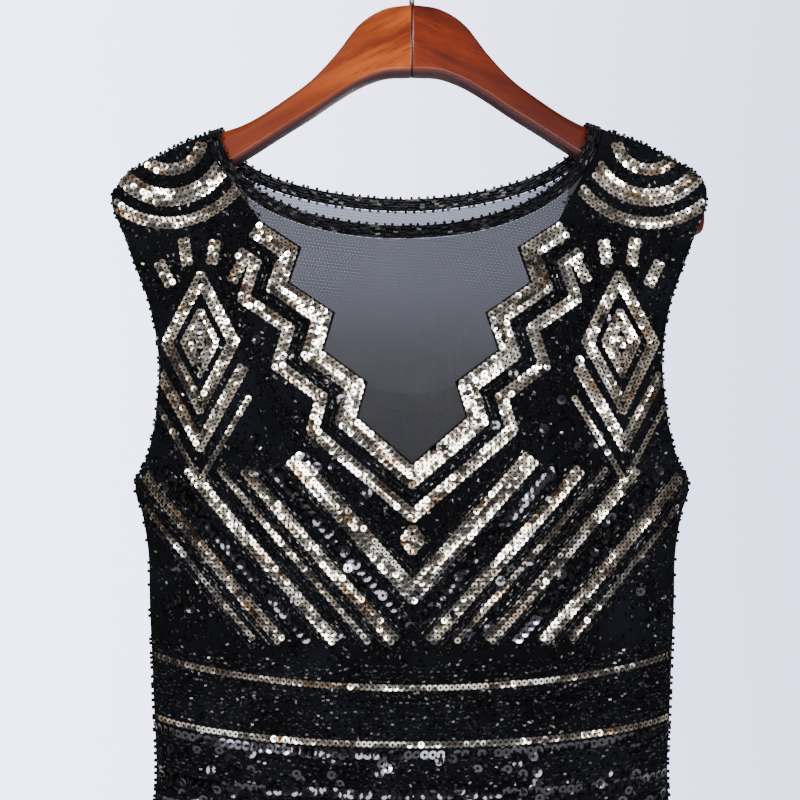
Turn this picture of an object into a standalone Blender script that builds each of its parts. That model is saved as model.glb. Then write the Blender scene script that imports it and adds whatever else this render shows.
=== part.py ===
"""A sleeveless sequin mini dress hanging from a contoured wooden hanger.

Run it with: blender --background --python part.py

Lengths are in metres, +Z is up and the front of the dress faces -Y. The origin is the
inner top of the hanger's hook, where a rail carries the whole thing. The dress is a hollow
cloth tube. One depth function gives the face of its front and of its back, and each bodice,
skirt, yoke and neck band is a wall whose outer points lie on that face.
"""

import math

import bmesh
import bpy
import numpy as np

# The hanger: a wire hook and two wooden arms that meet in a mitre at the middle.
HOOK_INNER_RADIUS = 0.0190
HOOK_WIRE_RADIUS = 0.0019
HOOK_START_ANGLE = -38.0
HOOK_END_ANGLE = 212.0
HOOK_STEM = 0.006
HOOK_STEM_PULL = 0.012
HOOK_BEND_PULL = 0.010
ARM_LENGTH = 0.2130
ARM_HALF_THICKNESS = 0.0093
ARM_MIDDLE_ROUND = 0.0045
ARM_FOOT_ROUND = 0.0040
ARM_TIP_ROUND = 0.0170
ARM_TIP_SHARES = (0.35, 0.6, 0.8, 0.93, 1.0)
ARM_FIRST_SECTION = 0.010
HEAD_WIDTH = 0.060
SEAT_WIDTH = 0.130
SEAM_GAP = 0.0003
SEAT_GAP = 0.0008

# The cloth.
BODY_WALL = 0.0015
NET_WALL = 0.0010
BAND_RISE = 0.0007
BAND_WIDTH = 0.0090
ROLL_RADIUS = ARM_HALF_THICKNESS + 2.0 * SEAT_GAP + BODY_WALL
FILL_HEIGHT = 0.190
SIDE_POWER = 2.6
SIDE_ROUND = 0.45
ARMHOLE_ROUND = 0.95
ARMHOLE_BLEND = 0.070

# Places down and across the dress.
NECK_HALF_WIDTH = 0.1330
FRONT_NECK = -0.2350
BACK_NECK = -0.2055
SHOULDER_TIP = 0.2140
FRONT_V = -0.4000
BACK_SCOOP = -0.3520
BACK_SCOOP_START = (0.1130, -0.2240)
YOKE_TURN = 66.0
UNDERARM = -0.4170
WAIST = -0.5660
HEM = -1.0170
CLOTH_START = 0.1230
INWARD_SLOPE = 0.42
SHOULDER_FADE = 0.090

# The dress has slipped a little along the hanger: the shoulders are this far off centre,
# and the shift dies out at the lower height. The neck is pulled over a little more.
NECK_SHIFT = -0.0035
LEAN = -0.0020
LEAN_TOP = -0.240
LEAN_FOOT = -0.420

# The hanger's arm: distance from the middle, height of its top and of its bottom edge.
ARM_OUTLINE = (
    (0.0000, -0.0700, -0.1196),
    (0.0216, -0.0740, -0.1212),
    (0.0380, -0.0845, -0.1275),
    (0.0550, -0.1060, -0.1376),
    (0.0710, -0.1230, -0.1484),
    (0.0915, -0.1380, -0.1612),
    (0.1230, -0.1562, -0.1812),
    (0.1400, -0.1620, -0.1912),
    (0.1680, -0.1727, -0.2085),
    (0.1875, -0.1832, -0.2235),
    (0.2040, -0.1930, -0.2370),
    (0.2140, -0.2040, -0.2410),
)

# The outer edge of the dress: height and half width, round the armhole to the underarm
# and then down the side seam to the hem.
SIDE_EDGE = (
    (-0.2050, 0.2140),
    (-0.2180, 0.2130),
    (-0.2390, 0.2040),
    (-0.2600, 0.1970),
    (-0.2820, 0.1885),
    (-0.3030, 0.1830),
    (-0.3350, 0.1795),
    (-0.3570, 0.1815),
    (-0.3780, 0.1850),
    (-0.3990, 0.1915),
    (-0.4170, 0.2015),
    (-0.4400, 0.1960),
    (-0.4660, 0.1920),
    (-0.5030, 0.1910),
    (-0.5760, 0.1880),
    (-0.6410, 0.1866),
    (-0.7000, 0.1960),
    (-0.7900, 0.2100),
    (-0.9000, 0.2105),
    (-1.0170, 0.2065),
)

# How far the armhole's edge stands from the middle plane: height, depth.
ARMHOLE_DEPTH = (
    (-0.2050, 0.0115),
    (-0.2400, 0.0130),
    (-0.2900, 0.0170),
    (-0.3350, 0.0185),
    (-0.3750, 0.0145),
    (-0.4000, 0.0080),
    (-0.4170, 0.0000),
)

# Depth of the tube at its middle: height, front, back.
TUBE_DEPTH = (
    (-0.4170, 0.0400, 0.0320),
    (-0.4660, 0.0395, 0.0335),
    (-0.5320, 0.0365, 0.0345),
    (-0.6090, 0.0375, 0.0365),
    (-0.7000, 0.0415, 0.0405),
    (-0.8000, 0.0430, 0.0425),
    (-1.0170, 0.0440, 0.0430),
)

# The toothed edge between the beaded front and its sheer yoke: half width, height.
FRONT_TEETH = (
    (0.1060, -0.2290),
    (0.0760, -0.2490),
    (0.0840, -0.2740),
    (0.0520, -0.2960),
    (0.0600, -0.3220),
    (0.0300, -0.3440),
    (0.0370, -0.3680),
    (0.0000, FRONT_V),
)
TOOTH_STEPS = 2

# Soft folds of the skirt: place across, half width, height where the fold starts and its
# depth at the hem. A negative depth is a trough.
FRONT_FOLDS = (
    (-0.150, 0.022, -0.660, 0.0045),
    (-0.088, 0.024, -0.700, -0.0040),
    (-0.024, 0.028, -0.640, 0.0045),
    (0.046, 0.024, -0.720, -0.0040),
    (0.112, 0.028, -0.650, 0.0050),
)
BACK_FOLDS = (
    (-0.124, 0.027, -0.650, 0.0050),
    (-0.052, 0.024, -0.600, -0.0040),
    (0.018, 0.028, -0.690, 0.0045),
    (0.086, 0.024, -0.630, -0.0045),
    (0.150, 0.022, -0.670, 0.0040),
)

# The bust: how far each cup stands out, where its middle is and how wide it spreads.
BUST_RISE = 0.005
BUST_PLACE = (0.082, -0.398)
BUST_SPREAD = (0.050, 0.060)

# Fineness of the walls.
ROLL_ANGLES = (0.0, 15.0, 32.0, 50.0, 70.0, 90.0)
BODY_COLUMNS = 12
WAIST_ROWS = 5
SKIRT_ROWS = 12
NORMAL_STEP = 0.0003
ROW_STEP = 0.030
YOKE_FOOT_SHARE = 0.06
YOKE_ARCH_POWER = 1.6

COLOURS = {
    "beaded_black": (0.012, 0.012, 0.015, 0.45, 0.0),
    "sheer_net": (0.060, 0.060, 0.068, 0.80, 0.0),
    "bead_band": (0.006, 0.006, 0.008, 0.30, 0.0),
    "hanger_wood": (0.300, 0.060, 0.022, 0.30, 0.0),
    "hook_steel": (0.300, 0.290, 0.290, 0.30, 1.0),
}


# Small helpers.


def material(name):
    """A Principled material with the colour, roughness and metal value of that name."""
    made = bpy.data.materials.get(name) or bpy.data.materials.new(name)
    made.use_nodes = True
    red, green, blue, roughness, metallic = COLOURS[name]
    shader = made.node_tree.nodes["Principled BSDF"]
    shader.inputs["Base Color"].default_value = (red, green, blue, 1.0)
    shader.inputs["Roughness"].default_value = roughness
    shader.inputs["Metallic"].default_value = metallic
    made.diffuse_color = (red, green, blue, 1.0)
    return made


def smooth(t):
    """An S curve that leaves 0 at t = 0 and reaches 1 at t = 1."""
    t = np.clip(t, 0.0, 1.0)
    return t * t * (3.0 - 2.0 * t)


def table(place, rows, column=1):
    """A smooth curve through one column of a table, as a Catmull-Rom spline. The first
    column holds the places, in rising or falling order."""
    rows = np.array(rows, float)
    rows = rows[np.argsort(rows[:, 0])]
    places, values = rows[:, 0], rows[:, column]
    place = np.clip(place, places[0], places[-1])
    slopes = np.gradient(values, places)
    i = np.clip(np.searchsorted(places, place) - 1, 0, len(places) - 2)
    step = places[i + 1] - places[i]
    t = (place - places[i]) / step
    rise = values[i + 1] - values[i]
    start, end = slopes[i] * step, slopes[i + 1] * step
    bend = 3.0 * rise - 2.0 * start - end
    twist = start + end - 2.0 * rise
    return values[i] + t * (start + t * (bend + t * twist))


# The shape of the cloth.


def lean(z):
    """How far the middle of the dress is shifted sideways at height z."""
    return LEAN * smooth((z - LEAN_FOOT) / (LEAN_TOP - LEAN_FOOT))


def shoulder_line(x):
    """Height of the shoulder seam, which lies on the hanger's arm. Inside the neck the
    line goes on as a straight slope."""
    out = np.maximum(np.abs(x), CLOTH_START)
    on_arm = table(out, ARM_OUTLINE)
    slope = (table(out + NORMAL_STEP, ARM_OUTLINE) - on_arm) / NORMAL_STEP
    lift = (BODY_WALL + SEAT_GAP) * np.sqrt(1.0 + np.minimum(slope**2, 1.0))
    return on_arm + lift + INWARD_SLOPE * (out - np.abs(x))


def folds_at(x, z, folds):
    """How far the skirt's folds move the cloth outwards, as a sum of soft ridges."""
    out = np.zeros(np.broadcast(x, z).shape)
    for place, half_width, start, depth in folds:
        ridge = np.exp(-(((x - place) / half_width) ** 2))
        out = out + depth * ridge * smooth((start - z) / (start - HEM))
    return out


def bust_at(x, z):
    """The two cups, as round swellings."""
    across = (np.abs(x) - BUST_PLACE[0]) / BUST_SPREAD[0]
    along = (z - BUST_PLACE[1]) / BUST_SPREAD[1]
    return BUST_RISE * np.exp(-(across**2) - along**2)


def depth_at(x, z, side):
    """How far the cloth's outer face stands from the middle plane at (x, z). It rolls
    over the hanger's arm in a quarter circle, fills out below it, and closes towards the
    armhole's edge or the side seam. side is -1 for the front and 1 for the back."""
    inward = x - lean(z)
    below = np.maximum(shoulder_line(x) - z, 0.0)
    roll = np.minimum(below / ROLL_RADIUS, 1.0)
    cap = ROLL_RADIUS * np.sqrt(np.maximum(1.0 - (1.0 - roll) ** 2, 0.0))
    fill = smooth((below - ROLL_RADIUS) / FILL_HEIGHT)
    middle = table(z, TUBE_DEPTH, 1 if side < 0 else 2)
    edge = table(z, ARMHOLE_DEPTH)
    share = np.clip(np.abs(inward) / table(z, SIDE_EDGE), 0.0, 1.0)
    above = smooth((z - UNDERARM) / ARMHOLE_BLEND)
    power = SIDE_ROUND + (ARMHOLE_ROUND - SIDE_ROUND) * above
    close = np.maximum(1.0 - share**SIDE_POWER, 0.0) ** power
    relief = folds_at(inward, z, FRONT_FOLDS if side < 0 else BACK_FOLDS)
    if side < 0:
        relief = relief + bust_at(inward, z)
    base = edge + (middle + relief - edge) * close
    return cap + (base - ROLL_RADIUS) * fill


def on_face(x, z, side, inset):
    """Points of the cloth at the depth inset below its outer face, measured along the
    face's own normal. They keep half a seam's gap from the plane between front and back."""

    def point(px, pz):
        return np.stack([px, side * depth_at(px, pz, side), pz], axis=-1)

    across = point(x + NORMAL_STEP, z) - point(x - NORMAL_STEP, z)
    along = point(x, z + NORMAL_STEP) - point(x, z - NORMAL_STEP)
    normal = -side * np.cross(across, along)
    normal /= np.linalg.norm(normal, axis=-1, keepdims=True)
    placed = point(x, z) - inset * normal
    placed[..., 1] = side * np.maximum(side * placed[..., 1], SEAM_GAP / 2)
    return placed


# Walls built from grids.


def wall_faces(rows, columns, start, joined=()):
    """Faces of a closed wall between an outer grid, whose points come first, and an
    inner grid. The rows in joined have no rim at their last column."""
    outer = start + np.arange(rows * columns).reshape(rows, columns)
    inner = outer + rows * columns
    faces = []
    for grid, turned in ((outer, False), (inner, True)):
        corners = (grid[:-1, :-1], grid[:-1, 1:], grid[1:, 1:], grid[1:, :-1])
        quads = np.stack(corners[::-1] if turned else corners, axis=-1).reshape(-1, 4)
        faces += quads.tolist()
    for c in range(columns - 1):
        faces.append((inner[0, c], inner[0, c + 1], outer[0, c + 1], outer[0, c]))
        faces.append((outer[-1, c], outer[-1, c + 1], inner[-1, c + 1], inner[-1, c]))
    for r in range(rows - 1):
        faces.append((outer[r, 0], outer[r + 1, 0], inner[r + 1, 0], inner[r, 0]))
        if r not in joined:
            faces.append((inner[r, -1], inner[r + 1, -1], outer[r + 1, -1], outer[r, -1]))
    return faces


def object_from(name, points, faces, colour, parent):
    """A mesh object with its doubles merged and its faces turned outwards."""
    mesh = bpy.data.meshes.new(name)
    body = bmesh.new()
    verts = [body.verts.new(p) for p in points]
    for face in faces:
        body.faces.new([verts[i] for i in face])
    bmesh.ops.remove_doubles(body, verts=body.verts, dist=1e-6)
    bmesh.ops.recalc_face_normals(body, faces=body.faces)
    body.to_mesh(mesh)
    body.free()
    mesh.materials.append(material(colour))
    mesh.shade_smooth()
    mesh.set_sharp_from_angle(angle=math.radians(40))
    obj = bpy.data.objects.new(name, mesh)
    bpy.context.scene.collection.objects.link(obj)
    obj.parent = parent
    return obj


# The neck edge, which the bands, the yokes and the bodices share.


def roll_heights():
    """Heights below the shoulder line of the rows that roll over the hanger's arm."""
    return [ROLL_RADIUS * (1.0 - math.cos(math.radians(a))) for a in ROLL_ANGLES]


def neck_turns(neck):
    """Angles along the half ellipse of the neck, from the shoulder seam at -90 degrees to
    that at 90. They lie close together where the cloth rolls over the arm."""
    drop = shoulder_line(NECK_HALF_WIDTH) - neck
    rolled = [90.0 - math.degrees(math.asin(h / drop)) for h in roll_heights()]
    upper = rolled + list(np.linspace(rolled[-1], YOKE_TURN, 3)[1:])
    middle = list(np.linspace(YOKE_TURN, 0.0, 8)[1:])
    half = np.radians(upper + middle)
    return np.concatenate([-half, half[-2::-1]])


def neck_edge(turns, neck, out):
    """Points (x, z) at the distance out from the neck's edge, which is a half ellipse
    between the two shoulder seams. The ends stay on the shoulder line."""
    hand = np.where(turns < 0, -1.0, 1.0)
    end = shoulder_line(hand * NECK_HALF_WIDTH + LEAN + NECK_SHIFT)
    drop = end - neck
    across = drop * np.sin(turns)
    along = -NECK_HALF_WIDTH * np.cos(turns)
    size = np.hypot(across, along)
    z = end - drop * np.cos(turns) + out * along / size
    x = NECK_HALF_WIDTH * np.sin(turns) + out * across / size + lean(z) + NECK_SHIFT
    at_seam = np.isclose(np.abs(turns), math.pi / 2)
    return x, np.where(at_seam, shoulder_line(x), np.minimum(z, shoulder_line(x)))


def neck_band(name, neck, side, parent):
    """The beaded band along the neck: a strip with the thickness of its bead rows."""
    turns = neck_turns(neck)
    rows = [neck_edge(turns, neck, BAND_WIDTH * share) for share in (0.0, 0.5, 1.0)]
    x = np.stack([row[0] for row in rows])
    z = np.stack([row[1] for row in rows])
    outer = on_face(x, z, side, -BAND_RISE)
    inner = on_face(x, z, side, BODY_WALL)
    points = np.vstack([outer.reshape(-1, 3), inner.reshape(-1, 3)])
    faces = wall_faces(len(rows), len(turns), 0)
    return object_from(name, points, faces, "bead_band", parent)


# The bodices, the skirts and the sheer yokes.


def scoop():
    """The back bodice's edge below its sheer yoke: a quarter ellipse to the middle."""
    start_x, start_z = BACK_SCOOP_START
    turns = np.linspace(0.0, math.pi / 2, 8)
    x = start_x * np.cos(turns)
    z = start_z + (BACK_SCOOP - start_z) * np.sin(turns)
    return tuple(zip(np.where(x < 1e-9, 0.0, x), z))


def yoke_edge(corners, steps):
    """The chain of corners with extra points between them: half widths and heights."""
    corners = np.array(corners)
    points = [corners[0]]
    for a, b in zip(corners[:-1], corners[1:]):
        points += [a + (b - a) * k / steps for k in range(1, steps + 1)]
    return np.array(points)


def bodice_half(neck, edge, hand):
    """The inner and outer ends of each row of one half of a bodice, and the row at the
    foot of its yoke. The inner ends run along the neck band, then the yoke, then down the
    middle line; the outer ends run round the armhole and down the side seam."""
    turns = neck_turns(neck)
    along_neck = turns[turns >= math.radians(YOKE_TURN) - 1e-6][::-1] * hand
    neck_x, neck_z = neck_edge(along_neck, neck, BAND_WIDTH + SEAM_GAP)
    edge_x = hand * edge[:, 0] + lean(edge[:, 1])
    inner_x = np.concatenate([neck_x, edge_x])
    inner_z = np.concatenate([neck_z, edge[:, 1]])
    tip = hand * SHOULDER_TIP + LEAN
    lead = shoulder_line(tip) - inner_z[0]
    share = (inner_z[0] - inner_z) / (inner_z[0] - inner_z[-1])
    outer_z = inner_z + lead * (1.0 - smooth(share))
    low = np.linspace(UNDERARM, WAIST + SEAM_GAP / 2, WAIST_ROWS)
    if inner_z[-1] - UNDERARM > ROW_STEP:
        low = np.concatenate([[(inner_z[-1] + UNDERARM) / 2], low])
    inner_x = np.concatenate([inner_x, lean(low)])
    inner_z = np.concatenate([inner_z, low])
    outer_z = np.concatenate([outer_z, low])
    outer_x = hand * table(outer_z, SIDE_EDGE) + lean(outer_z)
    outer_x[0] = tip
    return (inner_x, inner_z), (outer_x, outer_z), len(neck_x) + len(edge) - 1


def column_shares():
    """Shares of the way from the side to the middle, closer together at the side."""
    return np.sin(np.linspace(1.0, 0.0, BODY_COLUMNS) * math.pi / 2)[None, :]


def bodice(name, neck, edge, side, parent):
    """The front or back bodice: two halves that are split above the foot of the yoke and
    share the middle line below it, in one wall."""
    points, faces = [], []
    start = 0
    share = column_shares()
    for hand in (-1, 1):
        (inner_x, inner_z), (outer_x, outer_z), foot = bodice_half(neck, edge, hand)
        x = inner_x[:, None] + (outer_x - inner_x)[:, None] * share
        chord = inner_z[:, None] + (outer_z - inner_z)[:, None] * share
        ends = shoulder_line(inner_x)[:, None] * (1.0 - share)
        ends = ends + shoulder_line(outer_x)[:, None] * share
        bump = shoulder_line(x) - ends
        fade = 1.0 - smooth((inner_z[0] - inner_z) / SHOULDER_FADE)[:, None]
        z = np.minimum(chord + bump * fade, shoulder_line(x))
        z[0] = shoulder_line(x[0])
        outer = on_face(x, z, side, 0.0)
        inner = on_face(x, z, side, BODY_WALL)
        rows = len(inner_x)
        faces += wall_faces(rows, BODY_COLUMNS, start, range(foot, rows - 1))
        points += [outer.reshape(-1, 3), inner.reshape(-1, 3)]
        start += 2 * rows * BODY_COLUMNS
    return object_from(name, np.vstack(points), faces, "beaded_black", parent)


def skirt(name, side, parent):
    """The front or back skirt: a plain grid from the level waist seam to the hem."""
    half = column_shares()[0]
    share = np.concatenate([half, -half[-2::-1]])[None, :]
    height = np.linspace(WAIST - SEAM_GAP / 2, HEM, SKIRT_ROWS)[:, None]
    x = lean(height) - table(height, SIDE_EDGE) * share
    z = height + np.zeros_like(x)
    outer = on_face(x, z, side, 0.0)
    inner = on_face(x, z, side, BODY_WALL)
    points = np.vstack([outer.reshape(-1, 3), inner.reshape(-1, 3)])
    return object_from(name, points, wall_faces(*x.shape, 0), "beaded_black", parent)


def yoke(name, neck, edge, side, parent):
    """A sheer yoke: its top row runs along the neck band, and each row below is a
    flatter arch between two points of the bodice's edge, half a seam's gap inside it."""
    turns = neck_turns(neck)
    turns = turns[np.abs(turns) <= math.radians(YOKE_TURN) + 1e-6]
    top_x, top_z = neck_edge(turns, neck, BAND_WIDTH + SEAM_GAP)
    arch = (top_z - top_z[0]) / (top_z.min() - top_z[0])
    spread = np.sin(turns) / math.sin(math.radians(YOKE_TURN))
    last = edge[-1] + (edge[-2] - edge[-1]) * YOKE_FOOT_SHARE
    ends = np.vstack([edge[:-1], last])
    share = (top_z[0] - ends[:, 1]) / (top_z[0] - edge[-1, 1])
    middle = top_z.min() + (edge[-1, 1] - top_z.min()) * share**YOKE_ARCH_POWER
    round_arch = 1.0 - spread**2
    x, z = [top_x], [top_z]
    for (half, height), low in zip(ends, np.minimum(middle, ends[:, 1])):
        inset = half - SEAM_GAP * 1.5
        z.append(height + (low - height) * round_arch)
        x.append(inset * spread + lean(z[-1]))
    x, z = np.array(x), np.array(z)
    x[0, [0, -1]] += (SEAM_GAP, -SEAM_GAP)
    outer = on_face(x, z, side, 0.0)
    inner = on_face(x, z, side, NET_WALL)
    points = np.vstack([outer.reshape(-1, 3), inner.reshape(-1, 3)])
    return object_from(name, points, wall_faces(*x.shape, 0), "sheer_net", parent)


# The hanger.


def arm_section(x):
    """Points of the upright section of an arm at the distance x from the middle. Its top
    is rounder further out, where the cloth lies on it, and its end is rounded off."""
    top = float(table(x, ARM_OUTLINE))
    bottom = float(table(x, ARM_OUTLINE, 2))
    past = max(x - (ARM_LENGTH - ARM_TIP_ROUND), 0.0) / ARM_TIP_ROUND
    shrink = max(1.0 - past**3, 0.02) ** (1.0 / 3.0)
    centre, half_height = (top + bottom) / 2, (top - bottom) / 2 * shrink
    half = ARM_HALF_THICKNESS * shrink
    seated = float(smooth((x - HEAD_WIDTH) / (SEAT_WIDTH - HEAD_WIDTH)))
    crown = ARM_MIDDLE_ROUND + (ARM_HALF_THICKNESS - ARM_MIDDLE_ROUND) * seated
    crown, foot = min(crown, half), min(ARM_FOOT_ROUND, half)
    high, low = centre + half_height, centre - half_height
    corners = (
        (half - crown, high - crown, crown, 0),
        (-half + crown, high - crown, crown, 90),
        (-half + foot, low + foot, foot, 180),
        (half - foot, low + foot, foot, 270),
    )
    points = []
    for y, z, radius, start in corners:
        for step in (3, 31, 59, 87):
            angle = math.radians(start + step)
            points.append((y + radius * math.cos(angle), z + radius * math.sin(angle)))
    return points


def hanger_arm(name, hand, parent):
    """One wooden arm: sections along its length, closed by a flat mitre face at the
    middle and by its rounded end."""
    tip_start = ARM_LENGTH - ARM_TIP_ROUND
    places = [SEAM_GAP / 2] + list(np.linspace(ARM_FIRST_SECTION, tip_start, 18))
    places += [tip_start + ARM_TIP_ROUND * share for share in ARM_TIP_SHARES]
    sections = [arm_section(x) for x in places]
    count = len(sections[0])
    points = [(hand * x, y, z) for x, section in zip(places, sections) for y, z in section]
    faces = [tuple(range(count)), tuple(range(len(points) - count, len(points)))]
    for s in range(len(places) - 1):
        for k in range(count):
            a, b = s * count + k, s * count + (k + 1) % count
            faces.append((a, b, b + count, a + count))
    return object_from(name, points, faces, "hanger_wood", parent)


def hook_path():
    """The wire's middle line: up out of the wood, sideways, then round over the top."""
    ring = HOOK_INNER_RADIUS + HOOK_WIRE_RADIUS
    centre = np.array([0.0, -HOOK_INNER_RADIUS])
    joins = math.radians(HOOK_START_ANGLE)
    low = np.array([0.0, ARM_OUTLINE[0][1] + SEAM_GAP])
    foot = low + (0.0, HOOK_STEM)
    meet = centre + ring * np.array([math.cos(joins), math.sin(joins)])
    heading = np.array([-math.sin(joins), math.cos(joins)])
    pull_up = foot + (0.0, HOOK_STEM_PULL)
    pull_back = meet - HOOK_BEND_PULL * heading
    points = [low, foot]
    for t in np.linspace(0.0, 1.0, 8)[1:-1]:
        start = foot * (1 - t) ** 3 + 3 * pull_up * t * (1 - t) ** 2
        points.append(start + 3 * pull_back * t**2 * (1 - t) + meet * t**3)
    for angle in np.linspace(HOOK_START_ANGLE, HOOK_END_ANGLE, 26):
        turn = math.radians(angle)
        points.append(centre + ring * np.array([math.cos(turn), math.sin(turn)]))
    return np.array(points)


def hanger_hook(name, parent):
    """The wire hook: a round tube along its path."""
    path = hook_path()
    ahead = np.gradient(path, axis=0)
    ahead /= np.linalg.norm(ahead, axis=1, keepdims=True)
    ahead[0] = (0.0, 1.0)
    sides = 10
    turn = 2 * math.pi * np.arange(sides) / sides
    out = HOOK_WIRE_RADIUS * np.cos(turn)
    deep = HOOK_WIRE_RADIUS * np.sin(turn)
    points = []
    for (x, z), (ahead_x, ahead_z) in zip(path, ahead):
        points += [(x - ahead_z * o, d, z + ahead_x * o) for o, d in zip(out, deep)]
    faces = [tuple(range(sides)), tuple(range(len(points) - sides, len(points)))]
    for s in range(len(path) - 1):
        for k in range(sides):
            a, b = s * sides + k, s * sides + (k + 1) % sides
            faces.append((a, b, b + sides, a + sides))
    return object_from(name, points, faces, "hook_steel", parent)


def main():
    for obj in list(bpy.data.objects):
        bpy.data.objects.remove(obj)
    hanger = bpy.data.objects.new("hanger", None)
    dress = bpy.data.objects.new("dress", None)
    for empty in (hanger, dress):
        bpy.context.scene.collection.objects.link(empty)

    hanger_arm("hanger_arm_left", -1, hanger)
    hanger_arm("hanger_arm_right", 1, hanger)
    hanger_hook("hanger_hook", hanger)

    front_edge = yoke_edge(FRONT_TEETH, TOOTH_STEPS)
    back_edge = yoke_edge(scoop(), 1)
    bodice("front_bodice", FRONT_NECK, front_edge, -1, dress)
    bodice("back_bodice", BACK_NECK, back_edge, 1, dress)
    skirt("front_skirt", -1, dress)
    skirt("back_skirt", 1, dress)
    yoke("front_yoke", FRONT_NECK, front_edge, -1, dress)
    yoke("back_yoke", BACK_NECK, back_edge, 1, dress)
    neck_band("front_neck_band", FRONT_NECK, -1, dress)
    neck_band("back_neck_band", BACK_NECK, 1, dress)


main()
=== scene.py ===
# %% [markdown]
# # A sequin mini dress on a wooden hanger
#
# The dress is black cloth that is sewn all over with beads and rows of sequins, with a
# sheer yoke at the neck. It hangs open and hollow from a contoured hanger. The packed
# model gives every piece its place, and this script gives each piece its surface.

import math

import bmesh
import bpy
import numpy as np
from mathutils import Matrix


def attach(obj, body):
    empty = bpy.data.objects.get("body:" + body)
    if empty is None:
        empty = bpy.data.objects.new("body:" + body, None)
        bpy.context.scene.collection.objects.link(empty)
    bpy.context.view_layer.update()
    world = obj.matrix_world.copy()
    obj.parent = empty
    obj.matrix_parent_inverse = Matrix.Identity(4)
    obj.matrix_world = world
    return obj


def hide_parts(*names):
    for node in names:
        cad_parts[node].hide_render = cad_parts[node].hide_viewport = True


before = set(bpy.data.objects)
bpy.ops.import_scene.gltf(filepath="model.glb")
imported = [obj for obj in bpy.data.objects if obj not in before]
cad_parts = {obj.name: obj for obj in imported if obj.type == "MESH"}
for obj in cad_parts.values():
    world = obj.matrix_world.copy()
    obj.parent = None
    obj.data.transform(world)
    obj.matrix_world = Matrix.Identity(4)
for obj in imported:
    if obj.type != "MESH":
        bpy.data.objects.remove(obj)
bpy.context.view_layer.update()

# %% [markdown]
# ## The camera
#
# The picture was taken level, straight at the front of the dress. The lens follows from
# the size of one pixel at the cloth's depth, so the camera's place is written in metres.

# %% Camera
IMAGE_PIXELS = 800
FOCAL_PIXELS = 972.0
SENSOR = 36.0
CAMERA_PLACE = (-0.0086, -0.7100, -0.3566)

camera_data = bpy.data.cameras.new("camera")
camera_data.sensor_width = SENSOR
camera_data.lens = SENSOR * FOCAL_PIXELS / IMAGE_PIXELS
camera_data.clip_start = 0.01
camera = bpy.data.objects.new("camera", camera_data)
camera.location = CAMERA_PLACE
camera.rotation_euler = (math.pi / 2, 0.0, 0.0)
bpy.context.scene.collection.objects.link(camera)
bpy.context.scene.camera = camera
print("lens", round(camera_data.lens, 2), "mm")

# %% [markdown]
# ## Sizes
#
# These are the sizes of the solid model, in metres, because each surface here lies on its
# solid. The hook's inner top is the origin, +Z is up and the front of the dress faces -Y.

# %% Sizes
SEAM_GAP = 0.0003
SEAT_GAP = 0.0008
BODY_WALL = 0.0015
ARM_HALF_THICKNESS = 0.0093
ROLL_RADIUS = ARM_HALF_THICKNESS + 2.0 * SEAT_GAP + BODY_WALL
FILL_HEIGHT = 0.190
SIDE_POWER = 2.6
SIDE_ROUND = 0.45
ARMHOLE_ROUND = 0.95
ARMHOLE_BLEND = 0.070
BAND_WIDTH = 0.0090
NECK_HALF_WIDTH = 0.1330
FRONT_NECK = -0.2350
BACK_NECK = -0.2055
SHOULDER_TIP = 0.2140
FRONT_V = -0.4000
BACK_SCOOP = -0.3520
BACK_SCOOP_START = (0.1130, -0.2240)
YOKE_TURN = 66.0
YOKE_ARCH_POWER = 1.6
UNDERARM = -0.4170
WAIST = -0.5660
HEM = -1.0170
CLOTH_START = 0.1230
INWARD_SLOPE = 0.42
SHOULDER_FADE = 0.090
NECK_SHIFT = -0.0035
LEAN = -0.0020
LEAN_TOP = -0.240
LEAN_FOOT = -0.420
NORMAL_STEP = 0.0003
FRONT, BACK = -1, 1

# Distance from the middle, height of the arm's top and of its bottom edge.
ARM_OUTLINE = (
    (0.0000, -0.0700, -0.1196), (0.0216, -0.0740, -0.1212), (0.0380, -0.0845, -0.1275),
    (0.0550, -0.1060, -0.1376), (0.0710, -0.1230, -0.1484), (0.0915, -0.1380, -0.1612),
    (0.1230, -0.1562, -0.1812), (0.1400, -0.1620, -0.1912), (0.1680, -0.1727, -0.2085),
    (0.1875, -0.1832, -0.2235), (0.2040, -0.1930, -0.2370), (0.2140, -0.2040, -0.2410),
)

# Height and half width of the outer edge, round the armhole and down the side seam.
SIDE_EDGE = (
    (-0.2050, 0.2140), (-0.2180, 0.2130), (-0.2390, 0.2040), (-0.2600, 0.1970),
    (-0.2820, 0.1885), (-0.3030, 0.1830), (-0.3350, 0.1795), (-0.3570, 0.1815),
    (-0.3780, 0.1850), (-0.3990, 0.1915), (-0.4170, 0.2015), (-0.4400, 0.1960),
    (-0.4660, 0.1920), (-0.5030, 0.1910), (-0.5760, 0.1880), (-0.6410, 0.1866),
    (-0.7000, 0.1960), (-0.7900, 0.2100), (-0.9000, 0.2105), (-1.0170, 0.2065),
)

# Height, and how far the armhole's edge stands from the middle plane.
ARMHOLE_DEPTH = (
    (-0.2050, 0.0115), (-0.2400, 0.0130), (-0.2900, 0.0170), (-0.3350, 0.0185),
    (-0.3750, 0.0145), (-0.4000, 0.0080), (-0.4170, 0.0000),
)

# Height, and the depth of the front and of the back at the middle.
TUBE_DEPTH = (
    (-0.4170, 0.0400, 0.0320), (-0.4660, 0.0395, 0.0335), (-0.5320, 0.0365, 0.0345),
    (-0.6090, 0.0375, 0.0365), (-0.7000, 0.0415, 0.0405), (-0.8000, 0.0430, 0.0425),
    (-1.0170, 0.0440, 0.0430),
)

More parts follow.
